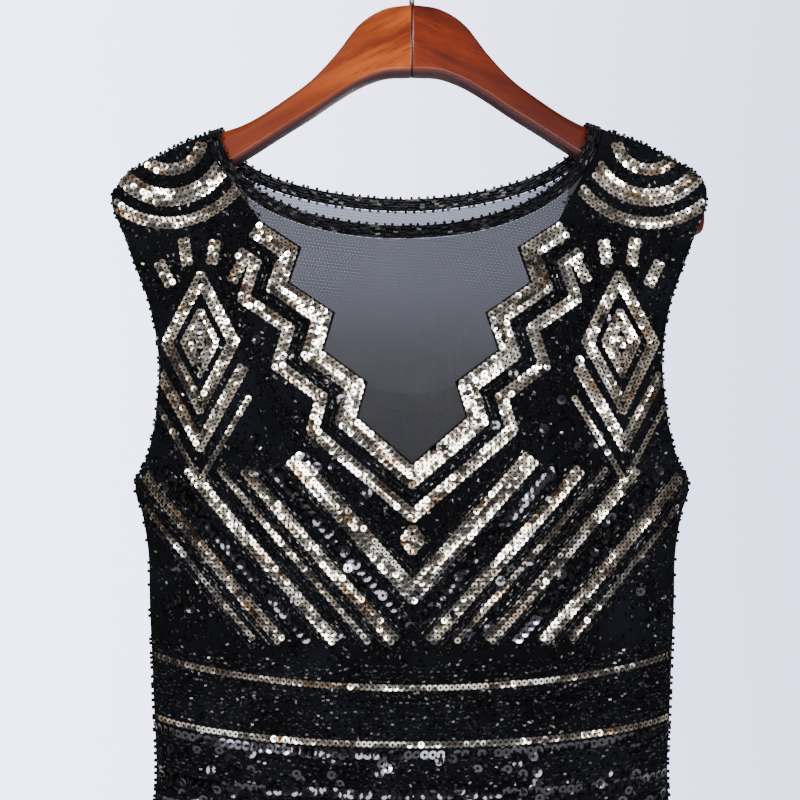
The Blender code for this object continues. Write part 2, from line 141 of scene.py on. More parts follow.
# Half width and height of the corners of the toothed edge of the front yoke.
FRONT_TEETH = (
    (0.1060, -0.2290), (0.0760, -0.2490), (0.0840, -0.2740), (0.0520, -0.2960),
    (0.0600, -0.3220), (0.0300, -0.3440), (0.0370, -0.3680), (0.0000, FRONT_V),
)

# Place across, half width, starting height and depth at the hem of the skirt's folds.
SKIRT_FOLDS = {
    FRONT: (
        (-0.150, 0.022, -0.660, 0.0045), (-0.088, 0.024, -0.700, -0.0040),
        (-0.024, 0.028, -0.640, 0.0045), (0.046, 0.024, -0.720, -0.0040),
        (0.112, 0.028, -0.650, 0.0050),
    ),
    BACK: (
        (-0.124, 0.027, -0.650, 0.0050), (-0.052, 0.024, -0.600, -0.0040),
        (0.018, 0.028, -0.690, 0.0045), (0.086, 0.024, -0.630, -0.0045),
        (0.150, 0.022, -0.670, 0.0040),
    ),
}

# The bust: how far each cup stands out, where its middle is and how wide it spreads.
BUST_RISE = 0.005
BUST_PLACE = (0.082, -0.398)
BUST_SPREAD = (0.050, 0.060)

# %% [markdown]
# ## Creases
#
# Beaded cloth is heavy, so it hangs in shallow, soft and uneven waves rather than sharp
# folds. Each one is a short line on the cloth with a width and a depth. A ridge stands
# out and a trough, with a negative depth, sinks in. Most run down from the underarm and
# the bust, where the cloth is slack.

# %% Creases
# Across and height of one end, across and height of the other, half width, depth.
CREASES = {
    FRONT: (
        (-0.176, -0.430, -0.166, -0.520, 0.0080, 0.0022),
        (-0.160, -0.425, -0.151, -0.505, 0.0065, -0.0018),
        (-0.146, -0.470, -0.140, -0.530, 0.0075, 0.0014),
        (0.172, -0.440, 0.170, -0.515, 0.0075, 0.0020),
        (0.157, -0.435, 0.150, -0.525, 0.0070, -0.0017),
        (-0.168, -0.400, -0.100, -0.425, 0.0100, -0.0016),
        (0.170, -0.395, 0.112, -0.430, 0.0090, -0.0014),
        (-0.120, -0.230, -0.150, -0.300, 0.0110, -0.0015),
        (0.128, -0.225, 0.152, -0.310, 0.0100, 0.0012),
        (-0.060, -0.455, -0.020, -0.520, 0.0120, 0.0012),
        (0.035, -0.470, 0.070, -0.545, 0.0110, -0.0013),
        (-0.150, -0.610, -0.060, -0.622, 0.0090, -0.0016),
        (0.040, -0.616, 0.140, -0.604, 0.0080, -0.0014),
    ),
    BACK: (
        (-0.172, -0.435, -0.164, -0.520, 0.0085, 0.0020),
        (-0.154, -0.430, -0.148, -0.500, 0.0070, -0.0017),
        (0.174, -0.430, 0.165, -0.525, 0.0080, 0.0022),
        (0.156, -0.440, 0.146, -0.510, 0.0065, -0.0016),
        (-0.160, -0.395, -0.080, -0.430, 0.0110, -0.0016),
        (0.165, -0.400, 0.095, -0.420, 0.0095, -0.0015),
        (-0.050, -0.400, -0.030, -0.500, 0.0120, 0.0014),
        (0.030, -0.420, 0.048, -0.510, 0.0130, -0.0014),
        (-0.140, -0.598, -0.030, -0.612, 0.0095, -0.0017),
        (0.020, -0.606, 0.130, -0.592, 0.0085, -0.0015),
    ),
}


def smooth(t):
    """An S curve: three times t squared less twice t cubed, held between 0 and 1."""
    t = np.clip(t, 0.0, 1.0)
    return t * t * (3.0 - 2.0 * t)


def unit(vectors):
    """The vectors, each divided by its own length."""
    return vectors / np.maximum(np.linalg.norm(vectors, axis=-1, keepdims=True), 1e-9)


def creases_at(x, z, side):
    """Sum of the creases at (x, z): each is its depth times a bell curve of the distance
    to its line, over its half width."""
    out = np.zeros(np.broadcast(x, z).shape)
    for x0, z0, x1, z1, half_width, depth in CREASES[side]:
        along = (x - x0) * (x1 - x0) + (z - z0) * (z1 - z0)
        share = np.clip(along / ((x1 - x0) ** 2 + (z1 - z0) ** 2), 0.0, 1.0)
        distance = np.hypot(x - x0 - share * (x1 - x0), z - z0 - share * (z1 - z0))
        out = out + depth * np.exp(-((distance / half_width) ** 2))
    return out


# %% [markdown]
# ## The face of the cloth
#
# One function of two parameters, the place across and the height, gives the outer face of
# the front or of the back. It rolls over the hanger, fills out below it and closes towards
# the armhole and the side seam. Everything that is sewn on asks the same function where
# the cloth is, so nothing floats or sinks.


# %% Face of the cloth
def table(place, rows, column=1):
    """A smooth curve through one column of a table: between two rows it is the cubic that
    meets both values with the slopes of their neighbours."""
    rows = np.array(rows, float)
    rows = rows[np.argsort(rows[:, 0])]
    places, values = rows[:, 0], rows[:, column]
    place = np.clip(place, places[0], places[-1])
    slopes = np.gradient(values, places)
    i = np.clip(np.searchsorted(places, place) - 1, 0, len(places) - 2)
    step = places[i + 1] - places[i]
    t = (place - places[i]) / step
    rise = values[i + 1] - values[i]
    start, end = slopes[i] * step, slopes[i + 1] * step
    bend = 3.0 * rise - 2.0 * start - end
    twist = start + end - 2.0 * rise
    return values[i] + t * (start + t * (bend + t * twist))


def lean(z):
    """How far the middle of the dress is shifted sideways at height z."""
    return LEAN * smooth((z - LEAN_FOOT) / (LEAN_TOP - LEAN_FOOT))


def shoulder_line(x):
    """Height of the shoulder seam: the arm's top plus the cloth's wall and a small gap,
    measured square to the arm. Inside the neck it goes on as a straight slope."""
    out = np.maximum(np.abs(x), CLOTH_START)
    on_arm = table(out, ARM_OUTLINE)
    slope = (table(out + NORMAL_STEP, ARM_OUTLINE) - on_arm) / NORMAL_STEP
    lift = (BODY_WALL + SEAT_GAP) * np.sqrt(1.0 + np.minimum(slope**2, 1.0))
    return on_arm + lift + INWARD_SLOPE * (out - np.abs(x))


def relief_at(x, z, side):
    """Folds of the skirt, as bell curves across that grow towards the hem, plus the two
    round cups of the bust on the front, plus the creases."""
    out = creases_at(x, z, side)
    for place, half_width, start, depth in SKIRT_FOLDS[side]:
        ridge = np.exp(-(((x - place) / half_width) ** 2))
        out = out + depth * ridge * smooth((start - z) / (start - HEM))
    if side == FRONT:
        across = (np.abs(x) - BUST_PLACE[0]) / BUST_SPREAD[0]
        along = (z - BUST_PLACE[1]) / BUST_SPREAD[1]
        out = out + BUST_RISE * np.exp(-(across**2) - along**2)
    return out


def depth_at(x, z, side):
    """How far the outer face stands from the middle plane: a quarter circle over the arm,
    then an S curve to the tube's own depth, which falls off towards the side as one less
    a power of the share of the half width."""
    inward = x - lean(z)
    below = np.maximum(shoulder_line(x) - z, 0.0)
    roll = np.minimum(below / ROLL_RADIUS, 1.0)
    cap = ROLL_RADIUS * np.sqrt(np.maximum(1.0 - (1.0 - roll) ** 2, 0.0))
    fill = smooth((below - ROLL_RADIUS) / FILL_HEIGHT)
    middle = table(z, TUBE_DEPTH, 1 if side == FRONT else 2)
    edge = table(z, ARMHOLE_DEPTH)
    share = np.clip(np.abs(inward) / table(z, SIDE_EDGE), 0.0, 1.0)
    above = smooth((z - UNDERARM) / ARMHOLE_BLEND)
    power = SIDE_ROUND + (ARMHOLE_ROUND - SIDE_ROUND) * above
    close = np.maximum(1.0 - share**SIDE_POWER, 0.0) ** power
    base = edge + (middle + relief_at(inward, z, side) - edge) * close
    return cap + (base - ROLL_RADIUS) * fill


def face_and_normal(x, z, side):
    """Points of the outer face at (x, z) and their outward normals, from the cross
    product of two short steps on the face."""

    def point(px, pz):
        return np.stack([px, side * depth_at(px, pz, side), pz], axis=-1)

    across = point(x + NORMAL_STEP, z) - point(x - NORMAL_STEP, z)
    along = point(x, z + NORMAL_STEP) - point(x, z - NORMAL_STEP)
    return point(x, z), unit(-side * np.cross(across, along))


def on_face(x, z, side, lift=0.0):
    """Points that stand off the outer face by lift, along its normal. They keep half a
    seam's gap from the plane between front and back."""
    spot, normal = face_and_normal(x, z, side)
    spot = spot + lift * normal
    spot[..., 1] = side * np.maximum(side * spot[..., 1], SEAM_GAP / 2)
    return spot


print("depth at the bust", round(float(depth_at(np.array(0.08), np.array(-0.4), FRONT)), 4))

# %% [markdown]
# ## Meshes from arrays
#
# Every piece is worked out as whole arrays of points and faces, which go into a mesh in
# one step. A surface on a grid, a profile along a path and thousands of copies of one
# small shape all end in the same function.


# %% Meshes from arrays
def mesh_object(name, points, faces, merge=False):
    """An object from an array of points and a list of arrays of faces, each array with
    faces of one number of corners."""
    blocks = [np.asarray(block, np.int32) for block in faces if len(block)]
    counts = np.concatenate([np.full(len(block), block.shape[1]) for block in blocks])
    corners = np.concatenate([block.reshape(-1) for block in blocks])
    mesh = bpy.data.meshes.new(name)
    mesh.vertices.add(len(points))
    mesh.vertices.foreach_set("co", np.asarray(points, np.float32).reshape(-1))
    mesh.loops.add(len(corners))
    mesh.loops.foreach_set("vertex_index", corners.astype(np.int32))
    mesh.polygons.add(len(counts))
    starts = np.concatenate([[0], np.cumsum(counts)[:-1]])
    mesh.polygons.foreach_set("loop_start", starts.astype(np.int32))
    mesh.update(calc_edges=True)
    mesh.validate()
    if merge:
        body = bmesh.new()
        body.from_mesh(mesh)
        bmesh.ops.remove_doubles(body, verts=body.verts, dist=1e-6)
        body.to_mesh(mesh)
        body.free()
    mesh.shade_smooth()
    obj = bpy.data.objects.new(name, mesh)
    bpy.context.scene.collection.objects.link(obj)
    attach(obj, "root")
    return obj


def carry(obj, name, values):
    """Gives each point of the piece a number, which its material reads."""
    layer = obj.data.attributes.new(name, "FLOAT", "POINT")
    layer.data.foreach_set("value", values.astype(np.float32))


def grid_faces(rows, columns, start=0, turned=False, round_columns=False):
    """Four-cornered faces of a grid of points that are numbered row by row."""
    index = start + np.arange(rows * columns).reshape(rows, columns)
    if round_columns:
        index = np.concatenate([index, index[:, :1]], axis=1)
    corners = [index[:-1, :-1], index[:-1, 1:], index[1:, 1:], index[1:, :-1]]
    if turned:
        corners = corners[::-1]
    return np.stack(corners, axis=-1).reshape(-1, 4)


def end_fans(rows, columns):
    """Triangles that close both ends of a round grid. Their two tips are numbered after
    the grid's own points."""
    around = np.arange(columns)
    ahead = (around + 1) % columns
    last = (rows - 1) * columns
    first = np.stack([np.full(columns, rows * columns), ahead, around], axis=-1)
    tip = np.full(columns, rows * columns + 1)
    return np.concatenate([first, np.stack([tip, last + around, last + ahead], axis=-1)])


def face_grid(name, x, z, side, lift=0.0, merge=False):
    """A piece from one grid of places on the face."""
    points = on_face(x, z, side, lift).reshape(-1, 3)
    return mesh_object(name, points, [grid_faces(*x.shape, turned=side < 0)], merge)


def thicken(obj, wall):
    """A wall behind the outer face."""
    solid = obj.modifiers.new("wall", "SOLIDIFY")
    solid.thickness = wall
    solid.offset = -1.0
    solid.use_quality_normals = True
    return obj


# %% [markdown]
# ## Bodices, skirts, yokes and neck bands
#
# A bodice's upper edge runs along the neck band and then along the yoke, which is toothed
# in front and scooped behind. Each row of the grid goes from that inner edge to the
# armhole or the side seam, so the mesh follows the cut edges and needs no trimming. The
# skirt is a plain grid below the waist seam. The grids are much finer than the solids',
# and take up the creases.

# %% Edges shared by the pieces
ROLL_ANGLES = np.linspace(0.0, 90.0, 10)
TOOTH_STEPS = 8
WAIST_ROWS = 25
SKIRT_ROWS = 64
BODY_COLUMNS = 40
NECK_STEPS = 30


def neck_turns(neck):
    """Angles along the half ellipse of the neck between the two shoulder seams. They lie
    close together where the cloth rolls over the arm."""
    drop = shoulder_line(NECK_HALF_WIDTH) - neck
    heights = ROLL_RADIUS * (1.0 - np.cos(np.radians(ROLL_ANGLES)))
    rolled = 90.0 - np.degrees(np.arcsin(heights / drop))
    upper = np.concatenate([rolled, np.linspace(rolled[-1], YOKE_TURN, 6)[1:]])
    half = np.radians(np.concatenate([upper, np.linspace(YOKE_TURN, 0.0, NECK_STEPS)[1:]]))
    return np.concatenate([-half, half[-2::-1]])


def neck_edge(turns, neck, out):
    """Points (x, z) at the distance out from the neck's edge, which is a half ellipse.
    The ends stay on the shoulder line."""
    hand = np.where(turns < 0, -1.0, 1.0)
    end = shoulder_line(hand * NECK_HALF_WIDTH + LEAN + NECK_SHIFT)
    drop = end - neck
    across = drop * np.sin(turns)
    along = -NECK_HALF_WIDTH * np.cos(turns)
    size = np.hypot(across, along)
    z = end - drop * np.cos(turns) + out * along / size
    x = NECK_HALF_WIDTH * np.sin(turns) + out * across / size + lean(z) + NECK_SHIFT
    at_seam = np.isclose(np.abs(turns), math.pi / 2)
    return x, np.where(at_seam, shoulder_line(x), np.minimum(z, shoulder_line(x)))


def finer(corners, steps):
    """A chain of corners with extra points between them."""
    corners = np.array(corners, float)
    shares = np.arange(steps)[:, None] / steps
    parts = [a + (b - a) * shares for a, b in zip(corners[:-1], corners[1:])]
    return np.concatenate(parts + [corners[-1:]])


def scoop(count=40):
    """The back bodice's edge below its yoke: a quarter ellipse to the middle."""
    turns = np.linspace(0.0, math.pi / 2, count)
    x = BACK_SCOOP_START[0] * np.cos(turns)
    z = BACK_SCOOP_START[1] + (BACK_SCOOP - BACK_SCOOP_START[1]) * np.sin(turns)
    return np.stack([np.where(x < 1e-9, 0.0, x), z], axis=-1)


YOKE_EDGE = {FRONT: finer(FRONT_TEETH, TOOTH_STEPS), BACK: scoop()}
NECK = {FRONT: FRONT_NECK, BACK: BACK_NECK}
print("yoke edge points", len(YOKE_EDGE[FRONT]), len(YOKE_EDGE[BACK]))


# %% Bodices and skirts
def column_shares():
    """Shares of the way from the middle to the side, closer together at the side: the
    sine of an evenly growing angle."""
    return np.sin(np.linspace(0.0, math.pi / 2, BODY_COLUMNS))[None, :]


def bodice_half(side, hand):
    """The grid (x, z) of one half of a bodice. Each row is a straight chord from its
    inner end to its outer end, bent up where it lies along the shoulder."""
    neck, edge = NECK[side], YOKE_EDGE[side]
    turns = neck_turns(neck)
    along_neck = turns[turns >= math.radians(YOKE_TURN) - 1e-6][::-1] * hand
    neck_x, neck_z = neck_edge(along_neck, neck, BAND_WIDTH + SEAM_GAP)
    inner_x = np.concatenate([neck_x, hand * edge[:, 0] + lean(edge[:, 1])])
    inner_z = np.concatenate([neck_z, edge[:, 1]])
    tip = hand * SHOULDER_TIP + LEAN
    lead = shoulder_line(tip) - inner_z[0]
    share = (inner_z[0] - inner_z) / (inner_z[0] - inner_z[-1])
    outer_z = inner_z + lead * (1.0 - smooth(share))
    low = np.concatenate([
        np.linspace(inner_z[-1], UNDERARM, 8)[1:-1], np.linspace(UNDERARM, WAIST, WAIST_ROWS),
    ])
    # The outer ends meet the underarm where the inner ones do.
    outer_z = np.concatenate([outer_z, low])
    inner_x = np.concatenate([inner_x, lean(low)])
    inner_z = np.concatenate([inner_z, low])
    outer_x = hand * table(outer_z, SIDE_EDGE) + lean(outer_z)
    outer_x[0] = tip
    across = column_shares()
    x = inner_x[:, None] + (outer_x - inner_x)[:, None] * across
    chord = inner_z[:, None] + (outer_z - inner_z)[:, None] * across
    ends = shoulder_line(inner_x)[:, None] * (1.0 - across)
    ends = ends + shoulder_line(outer_x)[:, None] * across
    fade = 1.0 - smooth((inner_z[0] - inner_z) / SHOULDER_FADE)[:, None]
    z = np.minimum(chord + (shoulder_line(x) - ends) * fade, shoulder_line(x))
    z[0] = shoulder_line(x[0])
    return x, z


def bodice(name, side):
    """Both halves of a bodice in one wall, joined down the middle below the yoke."""
    points, faces, start = [], [], 0
    for hand in (-1, 1):
        x, z = bodice_half(side, hand)
        points.append(on_face(x, z, side).reshape(-1, 3))
        faces.append(grid_faces(*x.shape, start, turned=side * hand < 0))
        start += x.size
    made = mesh_object(name, np.concatenate(points), faces, merge=True)
    return thicken(made, CLOTH_WALL)


def skirt(name, side):
    """One side of the skirt: a plain grid from the waist seam to the hem."""
    half = column_shares()
    share = np.concatenate([-half[:, :0:-1], half], axis=1)
    height = np.linspace(WAIST, HEM, SKIRT_ROWS)[:, None]
    x = lean(height) + table(height, SIDE_EDGE) * share
    made = face_grid(name, x, height + np.zeros_like(x), side)
    return thicken(made, CLOTH_WALL)


CLOTH_WALL = 0.0008
front_top = bodice("front_top", FRONT)
back_top = bodice("back_top", BACK)
front_skirt = skirt("front_skirt_cloth", FRONT)
back_skirt = skirt("back_skirt_cloth", BACK)
for piece in (front_top, back_top, front_skirt, back_skirt):
    print(piece.name, len(piece.data.polygons), "faces on its outer side")


# %% Yokes and neck bands
def yoke(name, side):
    """The sheer yoke: the top row runs along the neck band, and each row below is a
    flatter arch between two points of the body's edge."""
    neck, edge = NECK[side], YOKE_EDGE[side]
    turns = neck_turns(neck)
    turns = turns[np.abs(turns) <= math.radians(YOKE_TURN) + 1e-6]
    top_x, top_z = neck_edge(turns, neck, BAND_WIDTH + SEAM_GAP)
    spread = np.sin(turns) / math.sin(math.radians(YOKE_TURN))
    arch = 1.0 - spread**2
    share = (top_z[0] - edge[:, 1]) / (top_z[0] - edge[-1, 1])
    middle = top_z.min() + (edge[-1, 1] - top_z.min()) * share**YOKE_ARCH_POWER
    low = np.minimum(middle, edge[:, 1])
    z = edge[:, 1:] + (low - edge[:, 1])[:, None] * arch[None, :]
    x = edge[:, :1] * spread[None, :] + lean(z)
    x, z = np.vstack([top_x, x]), np.vstack([top_z, z])
    return face_grid(name, x, z, side, -NET_INSET, merge=True)


def band(name, side):
    """The neck band: a narrow strip of net along the half ellipse of the neck, which
    carries the rows of beads."""
    turns = neck_turns(NECK[side])
    rows = [neck_edge(turns, NECK[side], BAND_WIDTH * s) for s in np.linspace(0, 1, 6)]
    x, z = np.stack([row[0] for row in rows]), np.stack([row[1] for row in rows])
    return face_grid(name, x, z, side)


NET_INSET = 0.0003
front_net = yoke("front_net", FRONT)
back_net = yoke("back_net", BACK)
front_band = band("front_band", FRONT)
back_band = band("back_band", BACK)
for piece in (front_net, back_net, front_band, back_band):
    print(piece.name, len(piece.data.polygons), "faces")

# %% [markdown]
# ## The hanger
#
# The hanger is two arms of lacquered wood that meet in a mitre. Each arm is an upright
# section with rounded corners, carried outwards along the arm's two edges, and rounded off
# at its tip. Above the mitre a steel wire turns over into the hook.

# %% Hanger
ARM_LENGTH = 0.2130
ARM_MIDDLE_ROUND = 0.0045
ARM_FOOT_ROUND = 0.0040
ARM_TIP_ROUND = 0.0170
HEAD_WIDTH = 0.060
SEAT_WIDTH = 0.130
CORNER_STEPS = 8
ARM_SECTIONS = 90
MITRE_GAP = 0.00002
MITRE_CHAMFER = 0.00035


def arm(name, hand):
    """One arm: for each place along it, four quarter circles that round off the corners
    of an upright rectangle, with the ends closed by fans. Each point carries how far its
    face looks down, which is where the wood is painted darker and greyer as painted shade."""
    body_part = np.linspace(MITRE_CHAMFER, ARM_LENGTH - ARM_TIP_ROUND, ARM_SECTIONS)
    tip_part = ARM_LENGTH - ARM_TIP_ROUND * (1.0 - np.sin(np.linspace(0, math.pi / 2, 20)[1:]))
    x = np.concatenate([[MITRE_GAP], body_part, tip_part])
    past = np.maximum(x - (ARM_LENGTH - ARM_TIP_ROUND), 0.0) / ARM_TIP_ROUND
    shrink = np.maximum(1.0 - past**3, 0.02) ** (1.0 / 3.0)
    top, bottom = table(x, ARM_OUTLINE), table(x, ARM_OUTLINE, 2)
    worn = np.where(x < MITRE_CHAMFER, MITRE_CHAMFER, 0.0)
    centre, half_height = (top + bottom) / 2, (top - bottom) / 2 * shrink - worn
    half = ARM_HALF_THICKNESS * shrink - worn
    seated = smooth((x - HEAD_WIDTH) / (SEAT_WIDTH - HEAD_WIDTH))
    crown = np.minimum(ARM_MIDDLE_ROUND + (ARM_HALF_THICKNESS - ARM_MIDDLE_ROUND) * seated, half)
    foot = np.minimum(ARM_FOOT_ROUND, half)
    ring, below = [], []
    for sign_y, sign_z, radius, start in (
        (1, 1, crown, 0), (-1, 1, crown, 90), (-1, -1, foot, 180), (1, -1, foot, 270),
    ):
        turn = np.radians(start + np.linspace(1, 89, CORNER_STEPS))[None, :]
        y = (sign_y * (half - radius))[:, None] + radius[:, None] * np.cos(turn)
        z = (centre + sign_z * (half_height - radius))[:, None] + radius[:, None] * np.sin(turn)
        ring.append(np.stack([np.broadcast_to(hand * x[:, None], y.shape), y, z], axis=-1))
        below.append(np.broadcast_to(1.0 - smooth((np.sin(turn) + 0.75) / 0.45), y.shape))
    points = np.concatenate(ring, axis=1)
    rows, columns = points.shape[:2]
    ends = points[[0, -1]].mean(axis=1)
    faces = [grid_faces(rows, columns, turned=hand < 0, round_columns=True)]
    fans = end_fans(rows, columns)
    faces.append(fans if hand > 0 else fans[:, ::-1])
    made = mesh_object(name, np.concatenate([points.reshape(-1, 3), ends]), faces)
    made.data.set_sharp_from_angle(angle=math.radians(50))
    carry(made, "under", np.append(np.concatenate(below, axis=1).reshape(-1), [0.0, 0.0]))
    return made


arm_left = arm("arm_left", -1)
arm_right = arm("arm_right", 1)
print("arms", len(arm_left.data.polygons), "faces each")

# %% Hook
HOOK_INNER_RADIUS = 0.0190
HOOK_WIRE_RADIUS = 0.0019
HOOK_START_ANGLE = -38.0
HOOK_END_ANGLE = 212.0
HOOK_STEM = 0.006
HOOK_STEM_PULL = 0.012
HOOK_BEND_PULL = 0.010
WIRE_SIDES = 20


def hook_path():
    """The wire's middle line: straight up out of the wood, a cubic curve sideways, then a
    circle round the hook's centre."""
    ring = HOOK_INNER_RADIUS + HOOK_WIRE_RADIUS
    centre = np.array([0.0, -HOOK_INNER_RADIUS])
    joins = math.radians(HOOK_START_ANGLE)
    low = np.array([0.0, ARM_OUTLINE[0][1] + SEAM_GAP])
    foot = low + (0.0, HOOK_STEM)
    meet = centre + ring * np.array([math.cos(joins), math.sin(joins)])
    heading = np.array([-math.sin(joins), math.cos(joins)])
    pull_up = foot + (0.0, HOOK_STEM_PULL)
    pull_back = meet - HOOK_BEND_PULL * heading
    t = np.linspace(0.0, 1.0, 24)[1:-1, None]
    rise = foot * (1 - t) ** 3 + 3 * pull_up * t * (1 - t) ** 2
    rise = rise + 3 * pull_back * t**2 * (1 - t) + meet * t**3
    turn = np.radians(np.linspace(HOOK_START_ANGLE, HOOK_END_ANGLE, 90))[:, None]
    circle = centre + ring * np.concatenate([np.cos(turn), np.sin(turn)], axis=1)
    return np.concatenate([[low, foot], rise, circle])


def hook(name):
    """A round tube along the path: each ring is a circle square to the line's heading.
    The free end is rounded off by three smaller rings."""
    path = hook_path()
    ahead = unit(np.gradient(path, axis=0))
    ahead[0] = (0.0, 1.0)
    round_off = np.radians([30.0, 60.0, 85.0])
    end = path[-1] + HOOK_WIRE_RADIUS * np.sin(round_off)[:, None] * ahead[-1]
    path = np.concatenate([path, end])
    ahead = np.concatenate([ahead, np.repeat(ahead[-1:], 3, axis=0)])
    radius = np.full(len(path), HOOK_WIRE_RADIUS)
    radius[-3:] *= np.cos(round_off)
    turn = 2 * math.pi * np.arange(WIRE_SIDES) / WIRE_SIDES
    out, deep = radius[:, None] * np.cos(turn), radius[:, None] * np.sin(turn)
    x = path[:, :1] - ahead[:, 1:] * out
    z = path[:, 1:] + ahead[:, :1] * out
    points = np.stack([x, deep, z], axis=-1)
    rows, columns = points.shape[:2]
    caps = np.stack([np.arange(columns), (rows - 1) * columns + np.arange(columns)[::-1]])
    faces = [grid_faces(rows, columns, round_columns=True, turned=True), caps]
    return mesh_object(name, points.reshape(-1, 3), faces)


wire_hook = hook("wire_hook")
print("hook", len(wire_hook.data.polygons), "faces")

# %% [markdown]
# ## Shader maths
#
# A material's node tree is easier to read as arithmetic. This small class wraps a socket,
# so that an expression on sockets adds its Math nodes, and one method makes any other
# node.


# %% Shader maths
class Shade:
    """A socket of a material, which can be added, subtracted, multiplied and divided."""

    def __init__(self, tree, socket=None):
        self.tree = tree
        self.socket = socket

    def node(self, kind, settings=None, inputs=None, out=0, stops=None):
        """Any node: its type, its settings, which are set first, a ramp's stops, then the
        values or links of its sockets."""
        made = self.tree.nodes.new(kind)
        for key, value in (settings or {}).items():
            setattr(made, key, value)
        for k, (place, colour) in enumerate(stops or ()):
            elements = made.color_ramp.elements
            stop = elements[k] if k < len(elements) else elements.new(place)
            stop.position = place
            stop.color = colour
        for key, value in (inputs or {}).items():
            if isinstance(value, Shade):
                self.tree.links.new(value.socket, made.inputs[key])
            else:
                made.inputs[key].default_value = value
        return Shade(self.tree, made.outputs[out])

    def maths(self, operation, first, second=0.0):
        return self.node("ShaderNodeMath", {"operation": operation}, {0: first, 1: second})

    def __add__(self, other):
        return self.maths("ADD", self, other)

    __radd__ = __add__

    def __sub__(self, other):
        return self.maths("SUBTRACT", self, other)

    def __rsub__(self, other):
        return self.maths("SUBTRACT", other, self)

    def __mul__(self, other):
        return self.maths("MULTIPLY", self, other)

    __rmul__ = __mul__

    def __truediv__(self, other):
        return self.maths("DIVIDE", self, other)

    def step(self, low, high):
        """A soft step of this value from low to high."""
        kind = {"interpolation_type": "SMOOTHSTEP"}
        inputs = {"Value": self, "From Min": low, "From Max": high}
        return self.node("ShaderNodeMapRange", kind, inputs)

    def mix(self, first, second):
        """A colour between two others, with this value as the share of the second."""
        kind = {"data_type": "RGBA"}
        return self.node("ShaderNodeMix", kind, {0: self, 6: first, 7: second}, out=2)


def new_material(name, **constants):
    """A Principled material, its constants set on the shader's own sockets. Returns the
    material, its shader and a Shade to start expressions from."""
    made = bpy.data.materials.new(name)
    made.use_nodes = True
    shader = made.node_tree.nodes["Principled BSDF"]
    for key, value in constants.items():
        shader.inputs[key.replace("_", " ")].default_value = value
    return made, shader, Shade(made.node_tree)


def feed(shader, key, value):
    """Links an expression into one socket of the shader."""
    value.tree.links.new(value.socket, shader.inputs[key])


def place_of(shade, scale=(1.0, 1.0, 1.0), turn=(0.0, 0.0, 0.0)):
    """The place in the object's own metres, scaled and turned."""
    where = shade.node("ShaderNodeTexCoord", out="Object")
    inputs = {"Vector": where, "Scale": scale, "Rotation": turn}
    return shade.node("ShaderNodeMapping", None, inputs)


def noise(shade, where, scale, detail=3.0, roughness=0.5):
    """Soft random values between 0 and 1."""
    inputs = {"Vector": where, "Scale": scale, "Detail": detail, "Roughness": roughness}
    return shade.node("ShaderNodeTexNoise", None, inputs)


def bump(shade, height, distance, strength=1.0):
    """A normal that leans with a height given in shares of distance."""
    inputs = {"Height": height, "Distance": distance, "Strength": strength}
    return shade.node("ShaderNodeBump", None, inputs)


# %% [markdown]
# ## Finishes
#
# The dress is made of black cloth, sheer tulle, champagne and black sequins and black glass
# beads, and the hanger of lacquered wood and dark steel. A sequin is thin metallised film,
# so it is a mirror with a colour, and dull thread shows in its hole. A glass bead is dark
# with a sharp gloss. Each sequin and bead carries a number of its own, which shifts its
# colour or its gloss.

# %% Cloth and net
def cloth_finish():
    """Black cloth: a fine plain weave as two crossed waves, slight clouding and a little
    sheen."""
    made, shader, shade = new_material("cloth", Roughness=0.9, Specular_IOR_Level=0.07)
    where = place_of(shade)
    clouds = noise(shade, where, 22.0)
    dark, light = (0.0010, 0.0011, 0.0018, 1.0), (0.0030, 0.0036, 0.0060, 1.0)
    feed(shader, "Base Color", clouds.step(0.35, 0.7).mix(dark, light))
    bands = [
        shade.node(
            "ShaderNodeTexWave",
            {"bands_direction": direction},
            {"Vector": where, "Scale": 260.0, "Distortion": 0.6, "Detail": 1.0},
            out="Fac",
        )
        for direction in ("X", "Z")
    ]
    knots = noise(shade, where, 900.0, 2.0)
    height = bands[0] * bands[1] + 0.5 * knots
    feed(shader, "Normal", bump(shade, height, 0.0003, 0.7))
    return made


NET_HOLE_PITCH = 0.0011


def net_finish(name, low, foot_cover, top, top_cover, turn=0.0):
    """Tulle: round holes in a triangular pattern, where the sum of three cosine waves at
    60 degrees to each other is high. The cover goes from foot_cover at the height low to
    top_cover at the height top, and the colour is painted darker towards low, which is
    painted shade. Turn is the pattern's own, in degrees."""
    made, shader, shade = new_material(name, Roughness=0.9, Specular_IOR_Level=0.03)
    parts = shade.node("ShaderNodeSeparateXYZ", None, {0: place_of(shade)}, out="X")
    across, height = parts, Shade(parts.tree, parts.socket.node.outputs["Z"])
    wave = 2 * math.pi / NET_HOLE_PITCH
    holes = 0.0
    for third in (0.0, 60.0, 120.0):
        angle = math.radians(third + turn)
        phase = across * (wave * math.cos(angle)) + height * (wave * math.sin(angle))
        holes = phase.maths("COSINE", phase) + holes
    thread = 1.0 - holes.step(-0.9, 0.9)
    lit_and_cover_share = height.step(low, top)
    cover = foot_cover + (top_cover - foot_cover) * lit_and_cover_share
    clouds = noise(shade, place_of(shade), 30.0)
    feed(shader, "Alpha", cover * (0.72 + 0.44 * thread) * (0.98 + 0.04 * clouds))
    tint = clouds.mix((0.029, 0.0295, 0.034, 1.0), (0.045, 0.0455, 0.052, 1.0))
    # Painted shade: the net's colour darkens towards the height low.
    feed(shader, "Base Color", (0.35 + 0.65 * lit_and_cover_share).mix((0.003, 0.0035, 0.006, 1.0), tint))
    return made


